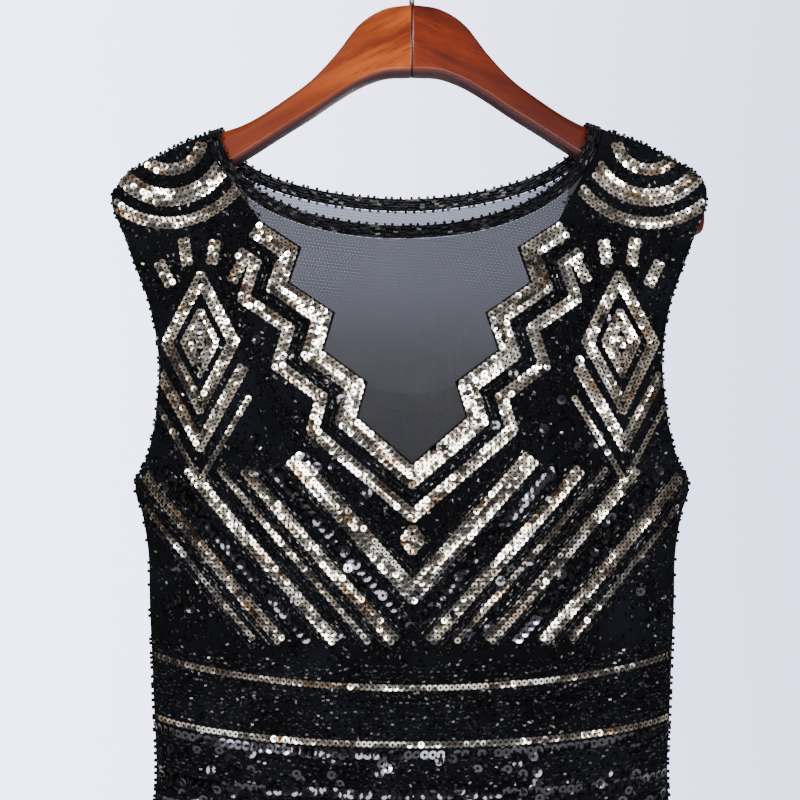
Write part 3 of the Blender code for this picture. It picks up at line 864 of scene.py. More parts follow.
CLOTH = cloth_finish()
FRONT_NET = net_finish("front_tulle", FRONT_V - 0.12, 0.58, -0.330, 0.79)
BACK_NET = net_finish("back_tulle", BACK_SCOOP, 1.30, -0.250, 0.93, 34.0)
BAND_NET = net_finish("band_tulle", HEM, 1.35, UNDERARM, 1.35, 17.0)
for piece in (front_top, back_top, front_skirt, back_skirt):
    piece.data.materials.append(CLOTH)
front_net.data.materials.append(FRONT_NET)
back_net.data.materials.append(BACK_NET)
for piece in (front_band, back_band):
    piece.data.materials.append(BAND_NET)


# %% Sequins and beads
def own_number(shade, name="tone"):
    """A number from 0 to 1 that the piece's own points carry."""
    return shade.node("ShaderNodeAttribute", {"attribute_name": name}, out="Fac")


def film_finish(name, stops, coat):
    """Metallised film: each sequin is a mirror whose tint comes from its own number. Its
    rim is painted darker, as painted shade for an edge that turns away, and is rougher.
    The knot in its hole is dull dark thread."""
    made, shader, shade = new_material(name, Coat_Roughness=0.04, Specular_IOR_Level=0.1)
    tint = shade.node("ShaderNodeValToRGB", None, {0: own_number(shade)}, stops=stops)
    # Painted shade: the rim's colour is darkened, and the rim is also made rougher.
    rim = own_number(shade, "reach").step(0.76, 1.0)
    film = 1.0 - own_number(shade, "knot").step(0.4, 0.6)
    rim_shaded_tint = (0.80 * rim).mix(tint, (0.016, 0.014, 0.012, 1.0))
    feed(shader, "Base Color", film.mix((0.0012, 0.0012, 0.0018, 1.0), rim_shaded_tint))
    feed(shader, "Metallic", film)
    feed(shader, "Coat Weight", coat * film)
    scuffs = noise(shade, place_of(shade), 700.0, 2.0)
    feed(shader, "Roughness", 0.08 + 0.10 * scuffs + 0.14 * rim + 0.4 * (1.0 - film))
    return made


def bead_finish(name, least, most, shine):
    """Black glass: nearly no colour of its own, and a gloss that varies from bead to bead
    between two roughnesses."""
    made, shader, shade = new_material(name, Specular_IOR_Level=shine)
    number = own_number(shade)
    dark, light = (0.0010, 0.0010, 0.0014, 1.0), (0.0040, 0.0040, 0.0060, 1.0)
    feed(shader, "Base Color", number.mix(dark, light))
    feed(shader, "Roughness", least + (most - least) * number)
    return made


# A few copper ones, then dark taupe to pale champagne.
GOLD_STOPS = (
    (0.00, (0.42, 0.28, 0.18, 1.0)), (0.03, (0.38, 0.32, 0.26, 1.0)),
    (0.50, (0.66, 0.59, 0.50, 1.0)), (1.00, (0.90, 0.86, 0.79, 1.0)),
)
# Black, and a few of them lavender, which is a painted reflection.
BLACK_STOPS = (
    (0.00, (0.012, 0.012, 0.017, 1.0)), (0.84, (0.035, 0.034, 0.046, 1.0)),
    (0.92, (0.34, 0.32, 0.43, 1.0)), (1.00, (0.60, 0.57, 0.72, 1.0)),
)
GOLD_FILM = film_finish("gold_film", GOLD_STOPS, 0.0)
BLACK_FILM = film_finish("black_film", BLACK_STOPS, 0.8)
BEAD_GLASS = bead_finish("bead_glass", 0.08, 0.32, 0.26)
MATT_GLASS = bead_finish("matt_glass", 0.40, 0.75, 0.05)


# %% Wood and steel
def wood_finish(name, slope, dark, light):
    """Lacquered wood: soft grain and thin dark streaks as noises that are stretched along
    the arm, whose slope is given in radians, under a clear coat. It is dull and dark in
    the joint and darker towards the tip. Where the arm looks down it is painted darker and
    greyer, which is painted shade."""
    made, shader, shade = new_material(name, Coat_Roughness=0.10, Specular_IOR_Level=0.12)
    along = place_of(shade, turn=(0.0, slope, 0.0))

    def stretched(scale, detail):
        spot = shade.node("ShaderNodeMapping", None, {"Vector": along, "Scale": scale})
        return noise(shade, spot, 1.0, detail, 0.6)

    grain = stretched((9.0, 60.0, 60.0), 5.0)
    streaks = stretched((60.0, 900.0, 900.0), 3.0).step(0.56, 0.68)
    pores = stretched((120.0, 2400.0, 2400.0), 2.0)
    across = shade.node("ShaderNodeSeparateXYZ", None, {0: place_of(shade)}, out="X")
    from_joint = across.maths("ABSOLUTE", across)
    joint = 1.0 - from_joint.step(0.0002, 0.0008)
    under = own_number(shade, "under")
    share = grain.step(0.30, 0.68) * (0.85 + 0.15 * pores) * (1.0 - 0.75 * streaks)
    share = share * (1.0 - 0.80 * from_joint.step(0.010, 0.10))
    # Painted shade: where the arm looks down, the wood's colour turns darker and greyer.
    wood = under.mix(share.mix(dark, light), (0.075, 0.032, 0.036, 1.0))
    feed(shader, "Base Color", joint.mix(wood, (0.004, 0.002, 0.001, 1.0)))
    feed(shader, "Coat Weight", 0.12 * (1.0 - joint))
    feed(shader, "Roughness", 0.36 + 0.12 * pores + 0.5 * joint)
    feed(shader, "Normal", bump(shade, pores - streaks, 0.00003, 0.3))
    return made


def steel_finish():
    """Dark drawn steel: a grey mirror with fine lines."""
    made, shader, shade = new_material("dark_steel", Metallic=1.0)
    lines = noise(shade, place_of(shade, (900.0, 900.0, 90.0)), 1.0, 3.0)
    feed(shader, "Base Color", lines.mix((0.16, 0.155, 0.15, 1.0), (0.30, 0.29, 0.28, 1.0)))
    feed(shader, "Roughness", 0.22 + 0.2 * lines)
    return made


GRAIN_SLOPE = 0.45
# Painted light and shade: both arms are one wood, painted lighter on the left arm and darker and
# redder on the right arm.
arm_left.data.materials.append(
    wood_finish("lit_left_wood", GRAIN_SLOPE, (0.110, 0.014, 0.004, 1.0), (0.400, 0.086, 0.011, 1.0))
)
arm_right.data.materials.append(
    wood_finish("shaded_right_wood", -GRAIN_SLOPE, (0.050, 0.006, 0.003, 1.0), (0.165, 0.021, 0.005, 1.0))
)
wire_hook.data.materials.append(steel_finish())
print("materials", len(bpy.data.materials))

# %% [markdown]
# ## What is sewn on
#
# Sequins are strung in rows that follow drawn lines, and beads fill what lies between.
# A line is a short chain of corners on the flat cloth. It is walked in small steps on the
# curved face, so that its stitches keep their true pitch, and each stitch gets the
# cloth's own normal and the line's heading.

# %% Lines on the cloth
WALK_STEP = 0.0010
EDGE_MARGIN = 0.0030


def mirrored(lines):
    """The lines and their mirror images about the middle."""
    return list(lines) + [np.array(line) * (-1.0, 1.0) for line in lines]


def beside(corners, distance):
    """The chain moved sideways by distance, to its left as it runs. At a corner it moves
    along the bisector, by distance over the cosine of half the turn."""
    corners = np.array(corners, float)
    heading = unit(np.diff(corners, axis=0))
    left = np.stack([-heading[:, 1], heading[:, 0]], axis=-1)
    before, after = np.vstack([left[:1], left]), np.vstack([left, left[-1:]])
    middle = unit(before + after)
    cosine = np.maximum((middle * before).sum(axis=1, keepdims=True), 0.35)
    return corners + middle * distance / cosine


def half_yoke(z, side):
    """Half width of the yoke's cut-out at height z, and 0 below its foot."""
    edge = YOKE_EDGE[side][::-1]
    return np.where(z < edge[0, 1], 0.0, np.interp(z, edge[:, 1], edge[:, 0]))


def on_body(flat, side, margin):
    """True for flat places that lie on a body: below the shoulder, inside the side edge,
    and outside the yoke and the neck."""
    across, z = flat[:, 0], flat[:, 1]
    x = across + lean(z)
    width = np.abs(across)
    sides = table(z, SIDE_EDGE)
    inside = (width < sides - margin) & (z < shoulder_line(x) - margin) & (z > HEM + margin)
    cut_out = half_yoke(z, side)
    open_yoke = (width < cut_out + 0.3 * margin) & (cut_out > 0.0)
    open_yoke |= (z > YOKE_EDGE[side][0, 1]) & (width < YOKE_EDGE[side][0, 0])
    neck = NECK[side]
    end = shoulder_line(np.array(NECK_HALF_WIDTH))
    drop = end - neck + BAND_WIDTH + margin
    reach = NECK_HALF_WIDTH + BAND_WIDTH + margin
    round_neck = (width / reach) ** 2 + ((end - z) / drop) ** 2 < 1.0
    return inside & ~open_yoke & ~round_neck


def spaced(spots, pitch):
    """The length of a chain of points up to each of them, and lengths a pitch apart."""
    run = np.concatenate([[0.0], np.cumsum(np.linalg.norm(np.diff(spots, axis=0), axis=1))])
    count = max(int(run[-1] / pitch), 1)
    return run, (np.arange(count) + 0.5) * run[-1] / count


def read(values, run, at):
    """What the columns of values are at some lengths along their chain."""
    return np.stack([np.interp(at, run, column) for column in values.T], axis=-1)


def stitches(corners, side, pitch):
    """Flat places along a line, a pitch apart on the cloth itself, with the line's
    heading at each. Only those on the body are kept."""
    corners = np.asarray(corners, float)
    runs = []
    for a, b in zip(corners[:-1], corners[1:]):
        count = max(int(np.hypot(*(b - a)) / WALK_STEP), 1)
        runs.append(a + (b - a) * np.linspace(0, 1, count, endpoint=False)[:, None])
    flat = np.concatenate(runs + [corners[-1:]])
    run, at = spaced(on_face(flat[:, 0] + lean(flat[:, 1]), flat[:, 1], side), pitch)
    place = read(flat, run, at)
    heading = read(flat, run, at + 0.4 * pitch) - read(flat, run, at - 0.4 * pitch)
    keep = on_body(place, side, EDGE_MARGIN)
    return place[keep], heading[keep]


def frames(place, heading, side):
    """On the cloth at each flat place: the point, and three axes, which are the line's
    heading, the way across it and the outward normal."""

    def on_cloth(flat):
        return face_and_normal(flat[:, 0] + lean(flat[:, 1]), flat[:, 1], side)

    spot, normal = on_cloth(place)
    along = on_cloth(place + unit(heading) * WALK_STEP)[0] - spot
    along = unit(along - (along * normal).sum(axis=1, keepdims=True) * normal)
    return spot, along, np.cross(normal, along), normal


# %% Copies of one small shape
def copies(name, shape, spots, axes, numbers, material, marks=None):
    """One mesh with a copy of a small shape at each spot: the shape's points are turned
    by the copy's three axes. Each copy carries one number as its tone, and marks gives
    further numbers for the points of the shape itself."""
    points, faces = shape
    placed = np.einsum("vk,nkj->nvj", points, axes) + spots[:, None, :]
    offsets = (np.arange(len(spots)) * len(points))[:, None, None]
    blocks = [(np.asarray(f)[None] + offsets).reshape(-1, len(f[0])) for f in faces]
    made = mesh_object(name, placed.reshape(-1, 3), blocks)
    carry(made, "tone", np.repeat(numbers, len(points)))
    for key, values in (marks or {}).items():
        carry(made, key, np.tile(values, len(spots)))
    made.data.materials.append(material)
    return made


def turned(axes, about, degrees):
    """The axes leaned about one of themselves: 0 is along the row, 1 is across it."""
    turn = np.radians(degrees)[:, None]
    other = 1 - about
    out = axes.copy()
    sign = 1.0 if about == 1 else -1.0
    out[:, other] = axes[:, other] * np.cos(turn) + sign * axes[:, 2] * np.sin(turn)
    out[:, 2] = axes[:, 2] * np.cos(turn) - sign * axes[:, other] * np.sin(turn)
    return out


SEQUIN_RADIUS = 0.00245
SEQUIN_HOLE = 0.00080
FLAT_CUP = 0.00008
DEEP_CUP = 0.00015
KNOT_SPREAD = 1.05
KNOT_LIFT = 0.00022
SEQUIN_CORNERS = 12


def sequin_shape(cup):
    """A sequin: a ring between its hole and its rim, which stands up by the cup, and the
    thread knot in the hole, which is a small six-sided face just above it."""
    turn = 2 * math.pi * np.arange(SEQUIN_CORNERS) / SEQUIN_CORNERS
    ring = np.stack([np.cos(turn), np.sin(turn)], axis=-1)
    hole = np.column_stack([ring[::2] * SEQUIN_HOLE, np.zeros(SEQUIN_CORNERS // 2)])
    rim = np.column_stack([ring * SEQUIN_RADIUS, np.full(SEQUIN_CORNERS, cup)])
    knot = hole * (KNOT_SPREAD, KNOT_SPREAD, 0.0) + (0.0, 0.0, KNOT_LIFT)
    half = SEQUIN_CORNERS // 2
    k = np.arange(half)
    ahead, own, mid = (k + 1) % half, half + 2 * k, half + 2 * k + 1
    after = half + (2 * k + 2) % SEQUIN_CORNERS
    last = half + SEQUIN_CORNERS
    slices = [np.stack([k, own, mid], axis=-1), np.stack([k, mid, after, ahead], axis=-1)]
    return np.concatenate([hole, rim, knot]), slices + [last + k[None, :]]


def sequin_marks():
    """How far each of the sequin's points reaches out, and which ones are the knot's."""
    inner, outer = np.zeros(SEQUIN_CORNERS // 2), np.ones(SEQUIN_CORNERS)
    reach = np.concatenate([inner, outer, inner])
    return {"reach": reach, "knot": np.concatenate([inner, 0.0 * outer, inner + 1.0])}


def bead_shape(length, width, sides=4):
    """A bead: a barrel with a few flat sides and a pointed cap at each end."""
    turn = math.pi / 2 + 2 * math.pi / sides * (np.arange(sides) + 0.5)
    ring = np.stack([np.cos(turn), np.sin(turn)], axis=-1) * width / 2
    ends = length / 2 * np.array([-0.78, 0.78])
    rings = [np.column_stack([np.full(sides, end), ring]) for end in ends]
    tips = np.array([[-length / 2, 0, 0], [length / 2, 0, 0]])
    barrel = grid_faces(2, sides, round_columns=True)
    return np.concatenate(rings + [tips]), [barrel, end_fans(2, sides)]


def soft_random(rng, count, window):
    """Random values with zero mean that drift slowly from one to the next."""
    raw = rng.normal(size=count + window)
    return np.convolve(raw, np.ones(window) / math.sqrt(window), "same")[:count]


# %% [markdown]
# ## The drawing
#
# The lines below are the drawing that the sequins follow. It is a plain geometric one: a
# toothed band round the yoke, arcs on the shoulders, nested diamonds with short rays at
# the sides of the bust, parallel chevrons towards the waist and level lines below it.
# Each line is written for one half and mirrored, or runs through the middle.

# %% Tools of the drawing
ROW_PITCH = 0.0039
ROW_SPACE = 0.0042
CHEVRON_SLOPE = 1.15


def whole(chain):
    """A chain from the side to the middle, carried on to the other side."""
    chain = np.array(chain, float)
    return np.concatenate([chain, chain[-2::-1] * (-1.0, 1.0)])


def rows_beside(chain, first, count):
    """Parallel rows, the first at the distance first and each a row's space further."""
    return [beside(chain, first + k * ROW_SPACE) for k in range(count)]


def rows_about(chain, count):
    """Parallel rows with the chain in their middle."""
    return rows_beside(chain, -(count - 1) / 2 * ROW_SPACE, count)


def shoulder_arcs(rows):
    """Lower parts of circles about a place on the shoulder: for each radius, some rows
    side by side."""
    turn = np.radians(np.linspace(190, 350, 24))
    circle = np.stack([np.cos(turn), np.sin(turn)], axis=-1)
    radii = [radius + k * ROW_SPACE for radius, count in rows for k in range(count)]
    return [np.array(ARC_PLACE) + radius * circle for radius in radii]


def diamond(centre, half_width, half_height):
    """A closed diamond of four sides, starting at its top."""
    corners = np.array([(0, 1), (1, 0), (0, -1), (-1, 0), (0, 1)], float)
    return np.array(centre) + corners * (half_width, half_height)


def ray(centre, angle, start, end):
    """A straight stroke away from a centre, between two distances."""
    heading = np.array([math.cos(math.radians(angle)), math.sin(math.radians(angle))])
    return np.array(centre) + np.array([[start], [end]]) * heading


def chevron(height, near, far):
    """Half of a V with that height at the middle line, from its far to its near end."""
    return [(far, height + CHEVRON_SLOPE * far), (near, height + CHEVRON_SLOPE * near)]


def level_line(height, dip):
    """A level line all across that hangs down by dip in the middle, as a parabola."""
    across = np.linspace(-0.22, 0.22, 25)
    return np.stack([across, height - dip * (1.0 - (across / 0.19) ** 2)], axis=-1)


# %% Front drawing
# Height at the middle line, near end, far end, rows of gold.
GOLD_CHEVRONS = (
    (-0.4900, 0.000, 0.082, 3),
    (-0.5375, 0.012, 0.116, 2),
    (-0.5590, 0.030, 0.135, 1),
    (-0.5850, 0.053, 0.157, 2),
    (-0.6290, 0.091, 0.190, 2),
    (-0.6500, 0.110, 0.190, 1),
)
# The same for the large black sequins.
BLACK_CHEVRONS = (
    (-0.5150, 0.000, 0.097, 1),
    (-0.6070, 0.072, 0.176, 1),
)
DIAMOND_PLACE = (0.1480, -0.3160)
DIAMOND_HALF = (0.0270, 0.0500)
ARC_PLACE = (0.1720, -0.1680)
# Angle in degrees, start and end of each ray.
RAYS = ((62, 0.046, 0.066), (80, 0.056, 0.076), (98, 0.056, 0.074), (118, 0.048, 0.066))
TEETH_BAND = 0.0034
SECOND_TEETH = 0.0255
STRAP = (
    (0.152, -0.184), (0.137, -0.247), (0.120, -0.300), (0.099, -0.347),
    (0.073, -0.394), (0.000, -0.470),
)
GOLD_LEVELS = ((-0.5380, 0.0180), (-0.5830, 0.0120), (-0.7200, 0.0), (-0.8300, 0.0))
HEM_LEVELS = ((-0.9960, 0.0), (-1.0030, 0.0))

teeth = whole(FRONT_TEETH)
front_gold = rows_beside(teeth, TEETH_BAND, 3) + rows_beside(teeth, SECOND_TEETH, 2)
half = shoulder_arcs(((0.0215, 2), (0.0395, 3), (0.0600, 2)))
for share in (1.00, 0.82, 0.46, 0.28, 0.08):
    half.append(diamond(DIAMOND_PLACE, DIAMOND_HALF[0] * share, DIAMOND_HALF[1] * share))
for angle, start, end in RAYS:
    half += rows_about(ray(DIAMOND_PLACE, angle, start, end), 2)
half += rows_about([(0.116, -0.333), (0.148, -0.388), (0.178, -0.338)], 2)
half += rows_about([(0.112, -0.354), (0.148, -0.413), (0.184, -0.354)], 1)
for height, near, far, count in GOLD_CHEVRONS:
    if near == 0.0:
        front_gold += rows_about(whole(chevron(height, near, far)), count)
    else:
        half += rows_about(chevron(height, near, far), count)
front_gold += mirrored(half)
front_gold += [diamond((0.0, -0.4530), 0.0070, 0.0095), diamond((0.0, -0.4530), 0.0020, 0.0030)]
front_gold += [level_line(*level) for level in GOLD_LEVELS + HEM_LEVELS]

LARGE_PITCH = 0.0056
LARGE_SIZE = 1.40
front_black = []
for height, near, far, count in BLACK_CHEVRONS:
    chain = chevron(height, near, far)
    front_black += [whole(chain)] if near == 0.0 else mirrored([chain])
BLACK_LEVELS = (
    (-0.5900, 0.0120), (-0.6230, 0.0060), (-0.6420, 0.0), (-0.7280, 0.0), (-0.8380, 0.0),
)
front_black += [level_line(*level) for level in BLACK_LEVELS]
print("lines of gold", len(front_gold), "and of black", len(front_black))

# %% Back drawing
# The back is plainer, as the hidden side of such a dress is.
scooped = whole(scoop())
back_gold = rows_beside(scooped, TEETH_BAND, 2)
half = shoulder_arcs(((0.026, 2), (0.043, 2), (0.060, 1)))
for share in (1.00, 0.62, 0.28):
    half.append(diamond((0.1500, -0.3300), 0.0220 * share, 0.0420 * share))
for height, near, far, count in GOLD_CHEVRONS[1:5]:
    half += rows_about(chevron(height, near, far), min(count, 2))
back_gold += mirrored(half)
back_gold += [level_line(*level) for level in GOLD_LEVELS + HEM_LEVELS]
back_black = [whole(chevron(-0.5130, 0.0, 0.100))]
back_black += [level_line(*level) for level in BLACK_LEVELS]
print("lines of gold behind", len(back_gold))

# %% Sew the sequins
rng = np.random.default_rng(7)
TILT_OVER_NEXT = 3.0
TILT_RUN = 5.2
TILT_OWN = 2.6
RUN_LENGTH = 8
TONE_RUN = 0.27
TONE_OWN = 0.12
SEQUIN_LIFT = 0.0009


def sewn_sequins(name, lines, side, pitch, size, cup, material, loose=None):
    """Rows of overlapping sequins. Each leans on the next one. Its lean and its tone drift
    along the row, so that whole stretches catch the light together. Loose ones lie singly
    and lean more."""
    places, headings, leans, sways, tones = [], [], [], [], []
    for line in lines:
        place, heading = stitches(line, side, pitch)
        count = len(place)
        if not count:
            continue
        places.append(place)
        headings.append(heading)
        leans.append(TILT_OVER_NEXT + TILT_RUN * soft_random(rng, count, RUN_LENGTH))
        sways.append(TILT_RUN * soft_random(rng, count, RUN_LENGTH))
        tones.append(TONE_RUN * soft_random(rng, count, RUN_LENGTH))
    if loose is not None:
        turn = rng.uniform(0.0, 2 * math.pi, len(loose))
        places.append(loose)
        headings.append(np.stack([np.cos(turn), np.sin(turn)], axis=-1))
        leans.append(9.0 * rng.normal(size=len(loose)))
        sways.append(9.0 * rng.normal(size=len(loose)))
        tones.append(TONE_RUN * rng.normal(size=len(loose)))
    place = np.concatenate(places)
    spot, along, across, normal = frames(place, np.concatenate(headings), side)
    axes = np.stack([along, across, normal], axis=1)
    axes = turned(axes, 1, np.concatenate(leans) + TILT_OWN * rng.normal(size=len(place)))
    axes = turned(axes, 0, np.concatenate(sways) + TILT_OWN * rng.normal(size=len(place)))
    tone = 0.5 + np.concatenate(tones) + TONE_OWN * rng.normal(size=len(place))
    made = copies(
        name, sequin_shape(cup), spot + SEQUIN_LIFT * normal, axes * size,
        np.clip(tone, 0.0, 1.0), material, sequin_marks(),
    )
    print(name, len(place), "sequins")
    return made, place


def loose_places(side, count, top, foot):
    """Random single places between two heights."""
    place = np.stack([rng.uniform(-0.19, 0.19, count), rng.uniform(foot, top, count)], axis=-1)
    return place[on_body(place, side, 0.006)]


gold_front, gold_front_places = sewn_sequins(
    "gold_front", front_gold, FRONT, ROW_PITCH, 1.0, FLAT_CUP, GOLD_FILM,
)
gold_back, gold_back_places = sewn_sequins(
    "gold_back", back_gold, BACK, ROW_PITCH, 1.0, FLAT_CUP, GOLD_FILM,
)
black_front, black_front_places = sewn_sequins(
    "black_front", front_black, FRONT, LARGE_PITCH, LARGE_SIZE, DEEP_CUP, BLACK_FILM,
    np.concatenate([
        loose_places(FRONT, 90, -0.24, -0.52), loose_places(FRONT, 110, -0.60, -0.66),
    ]),
)
black_back, black_back_places = sewn_sequins(
    "black_back", back_black, BACK, LARGE_PITCH, LARGE_SIZE, DEEP_CUP, BLACK_FILM,
    loose_places(BACK, 80, -0.30, -0.66),
)

# %% [markdown]
# ## Beads
#
# Black glass beads cover most of the cloth between the sequins. Some lie in rows beside
# the gold lines and across the waist, and the rest are strewn with no order, as a maker
# sews them one by one with thread that wanders. The strewn ones are drawn at random, and
# those that would lie on a sequin are left out. Small beads stand along the neck, the
# shoulders, the armholes and the side seams, as picots do.

# %% Rows of beads
BEAD_LENGTH = 0.0027
BEAD_WIDTH = 0.0014
BEAD_PITCH = 0.0030
BEAD_LIFT = 0.0006
BEAD_CLEAR = 0.0027
SPARSE_SIDES = 3
LEVEL_SPACE = 0.0036
LEVEL_STRAY = 0.0007
CHUNK = 2000
STREWN_HALF_WIDTH = 0.212
STREWN_MARGIN = 0.0022
NEAR_SEQUINS = 0.013


def nearest(places, others):
    """Distance from each flat place to the nearest of the others, chunk by chunk."""
    out = np.empty(len(places))
    for start in range(0, len(places), CHUNK):
        gap = places[start:start + CHUNK, None, :] - others[None, :, :]
        out[start:start + CHUNK] = np.sqrt((gap**2).sum(axis=-1).min(axis=1))
    return out


def set_beads(name, spots, axes, jitter, tip, shape, glass):
    """Beads at points of the cloth. The axes are each bead's own, the way across it and
    the normal. Jitter turns it in the cloth's plane and tip lifts one of its ends, in
    degrees. Each is rolled at random, and its facets stay flat, so that only a few of
    them catch the light."""
    along, across, normal = axes
    turn = np.radians(jitter * rng.normal(size=len(spots)))[:, None]
    swung = along * np.cos(turn) + across * np.sin(turn)
    axes = np.stack([swung, np.cross(normal, swung), normal], axis=1)
    if tip:
        axes = turned(axes, 1, tip * rng.normal(size=len(spots)))
    axes = turned(axes, 0, rng.uniform(0.0, 360.0, len(spots)))
    made = copies(name, shape, spots, axes, rng.random(len(spots)), glass)
    made.data.shade_flat()
    return made


def sewn_beads(name, place, heading, side, jitter, shape, tip=6.0, glass=BEAD_GLASS):
    """Beads at flat places."""
    spot, *axes = frames(place, heading, side)
    print(name, len(place), "beads")
    spots = spot + BEAD_LIFT * axes[2]
    return set_beads(name, spots, axes, jitter, tip, shape, glass)


def bead_rows(name, lines, side, jitter, shape, stray=0.0, glass=BEAD_GLASS):
    """Beads along all the lines, without those that would lie on a sequin. Stray is how
    far they lie off their line."""
    found = [stitches(line, side, BEAD_PITCH) for line in lines]
    place = np.concatenate([f[0] for f in found])
    heading = np.concatenate([f[1] for f in found])
    place = place + stray * rng.normal(size=place.shape)
    keep = nearest(place, SEQUIN_PLACES[side]) > BEAD_CLEAR
    return sewn_beads(name, place[keep], heading[keep], side, jitter, shape, glass=glass)


def strewn_beads(name, side, count, top, foot, near_share, far_share):
    """Beads at random places between two heights. Near the sequins a larger share of them
    is kept."""
    across = rng.uniform(-STREWN_HALF_WIDTH, STREWN_HALF_WIDTH, count)
    place = np.stack([across, rng.uniform(foot, top, count)], axis=-1)
    place = place[on_body(place, side, STREWN_MARGIN)]
    gap = nearest(place, SEQUIN_PLACES[side])
    share = np.where(gap < NEAR_SEQUINS, near_share, far_share)
    place = place[(gap > BEAD_CLEAR) & (rng.random(len(place)) < share)]
    turn = rng.uniform(0.0, math.pi, len(place))
    heading = np.stack([np.cos(turn), np.sin(turn)], axis=-1)
    sewn_beads(name, place, heading, side, 0.0, sparse_bugle, tip=16.0)


SEQUIN_PLACES = {
    FRONT: np.concatenate([gold_front_places, black_front_places]),
    BACK: np.concatenate([gold_back_places, black_back_places]),
}
bugle = bead_shape(BEAD_LENGTH, BEAD_WIDTH)
sparse_bugle = bead_shape(BEAD_LENGTH, BEAD_WIDTH, SPARSE_SIDES)
strap = whole(STRAP)

front_lines = [beside(teeth, distance) for distance in (0.0145, 0.0172, 0.0199, 0.0310)]
strap_lines = [beside(strap, 0.0017 * k) for k in range(-3, 4)]
for height, near, far, count in GOLD_CHEVRONS:
    chain = chevron(height, near, far)
    last_row = (count - 1) / 2 * ROW_SPACE
    for way in (-1, 1):
        ways = [way * (last_row + distance) for distance in (0.0034, 0.0056)]
        front_lines += mirrored([beside(chain, distance) for distance in ways])
LEVEL_ROWS = np.arange(-0.5270, -0.6460, -LEVEL_SPACE)
waist_lines = [level_line(z, 0.0140) for z in LEVEL_ROWS]
skirt_lines = [level_line(z, 0.0) for z in np.arange(-0.6620, -0.9900, -0.0150)]
hem_lines = [
    level_line(z, 0.0) for z in (-0.9885, -0.9915, -0.9995, -1.0070, -1.0100, -1.0130)
]
level_lines = waist_lines + skirt_lines + hem_lines

front_row_beads = bead_rows("front_row_beads", front_lines, FRONT, 9.0, bugle)
strap_beads = bead_rows("strap_beads", strap_lines, FRONT, 9.0, bugle, glass=MATT_GLASS)
level_look = (14.0, sparse_bugle, LEVEL_STRAY)
front_level_beads = bead_rows("front_level_beads", level_lines, FRONT, *level_look)
back_level_beads = bead_rows("back_level_beads", level_lines, BACK, *level_look)

# %% Strewn beads
# Name, side, number drawn, top and foot, share kept near the sequins and away from them.
STREWN = (
    ("front_strewn_beads", FRONT, 17000, -0.160, -0.530, 0.95, 0.30),
    ("back_strewn_beads", BACK, 11000, -0.160, -0.530, 0.85, 0.16),
    ("waist_strewn_beads", FRONT, 2200, -0.530, -0.645, 0.90, 0.90),
    ("skirt_front_beads", FRONT, 4600, -0.645, -0.985, 0.70, 0.45),
    ("skirt_back_beads", BACK, 4200, -0.645, -0.985, 0.70, 0.45),
)
for strewing in STREWN:
    strewn_beads(*strewing)


# %% Neck, shoulder and armhole beads
def edge_beads(name, chain, side, pitch, shape, lift, stand=False, uneven=0.0):
    """Beads along a chain of true places (x, z) on the face. A standing bead points
    outwards along the cloth, square to the chain, as a picot does. Uneven is how far they
    stray along the chain, as a share of the pitch."""
    spot, normal = face_and_normal(*chain, side)
    run, at = spaced(spot, pitch)
    at = at + pitch * uneven * rng.uniform(-1.0, 1.0, len(at))
    normal = unit(read(normal, run, at))
    along = unit(read(spot, run, at + pitch / 3) - read(spot, run, at - pitch / 3))
    across = np.cross(normal, along)
    axes = (across, -along, normal) if stand else (along, across, normal)
    spots = read(spot, run, at) + lift * normal
    return set_beads(name, spots, axes, EDGE_JITTER, 0.0, shape, BEAD_GLASS)


EDGE_JITTER = 8.0
EDGE_PITCH = 0.0034
EDGE_LIFT = 0.0005
SIDES = ((FRONT, "front"), (BACK, "back"))
HANDS = ((-1, "left"), (1, "right"))
NECK_ROWS = (0.0007, 0.0026, 0.0045, 0.0064, 0.0082)
neck_bugle = bead_shape(0.0042, 0.0018, 5)
picot = bead_shape(0.0024, 0.0022, 6)
NECK_LIFT = {FRONT: 0.0005, BACK: 0.0001}
for side, word in SIDES:
    turns = neck_turns(NECK[side])
    for k, out in enumerate(NECK_ROWS):
        chain = neck_edge(turns, NECK[side], out)
        edge_beads(f"{word}_neck_row_{k}", chain, side, 0.0036, neck_bugle, NECK_LIFT[side])
    chain = neck_edge(turns, NECK[side], -0.0007)
    edge_beads(f"{word}_neck_picots", chain, side, 0.0062, picot, 0.0001, True, uneven=0.25)
chain = neck_edge(neck_turns(BACK_NECK), BACK_NECK, BAND_WIDTH + 0.0006)
edge_beads("back_neck_foot_picots", chain, BACK, 0.0066, picot, 0.0001, True, uneven=0.25)


def shoulder_chain(hand, below):
    """Places along the shoulder seam, from the neck band out to the tip."""
    x = np.linspace(hand * (NECK_HALF_WIDTH + BAND_WIDTH), hand * (SHOULDER_TIP - 0.002), 60)
    return x, shoulder_line(x) - below


def side_chain(hand, inset, top, foot, count=200):
    """Places along the cloth's outer edge, between two heights."""
    z = np.linspace(top, foot, count)
    return hand * (table(z, SIDE_EDGE) - inset) + lean(z), z


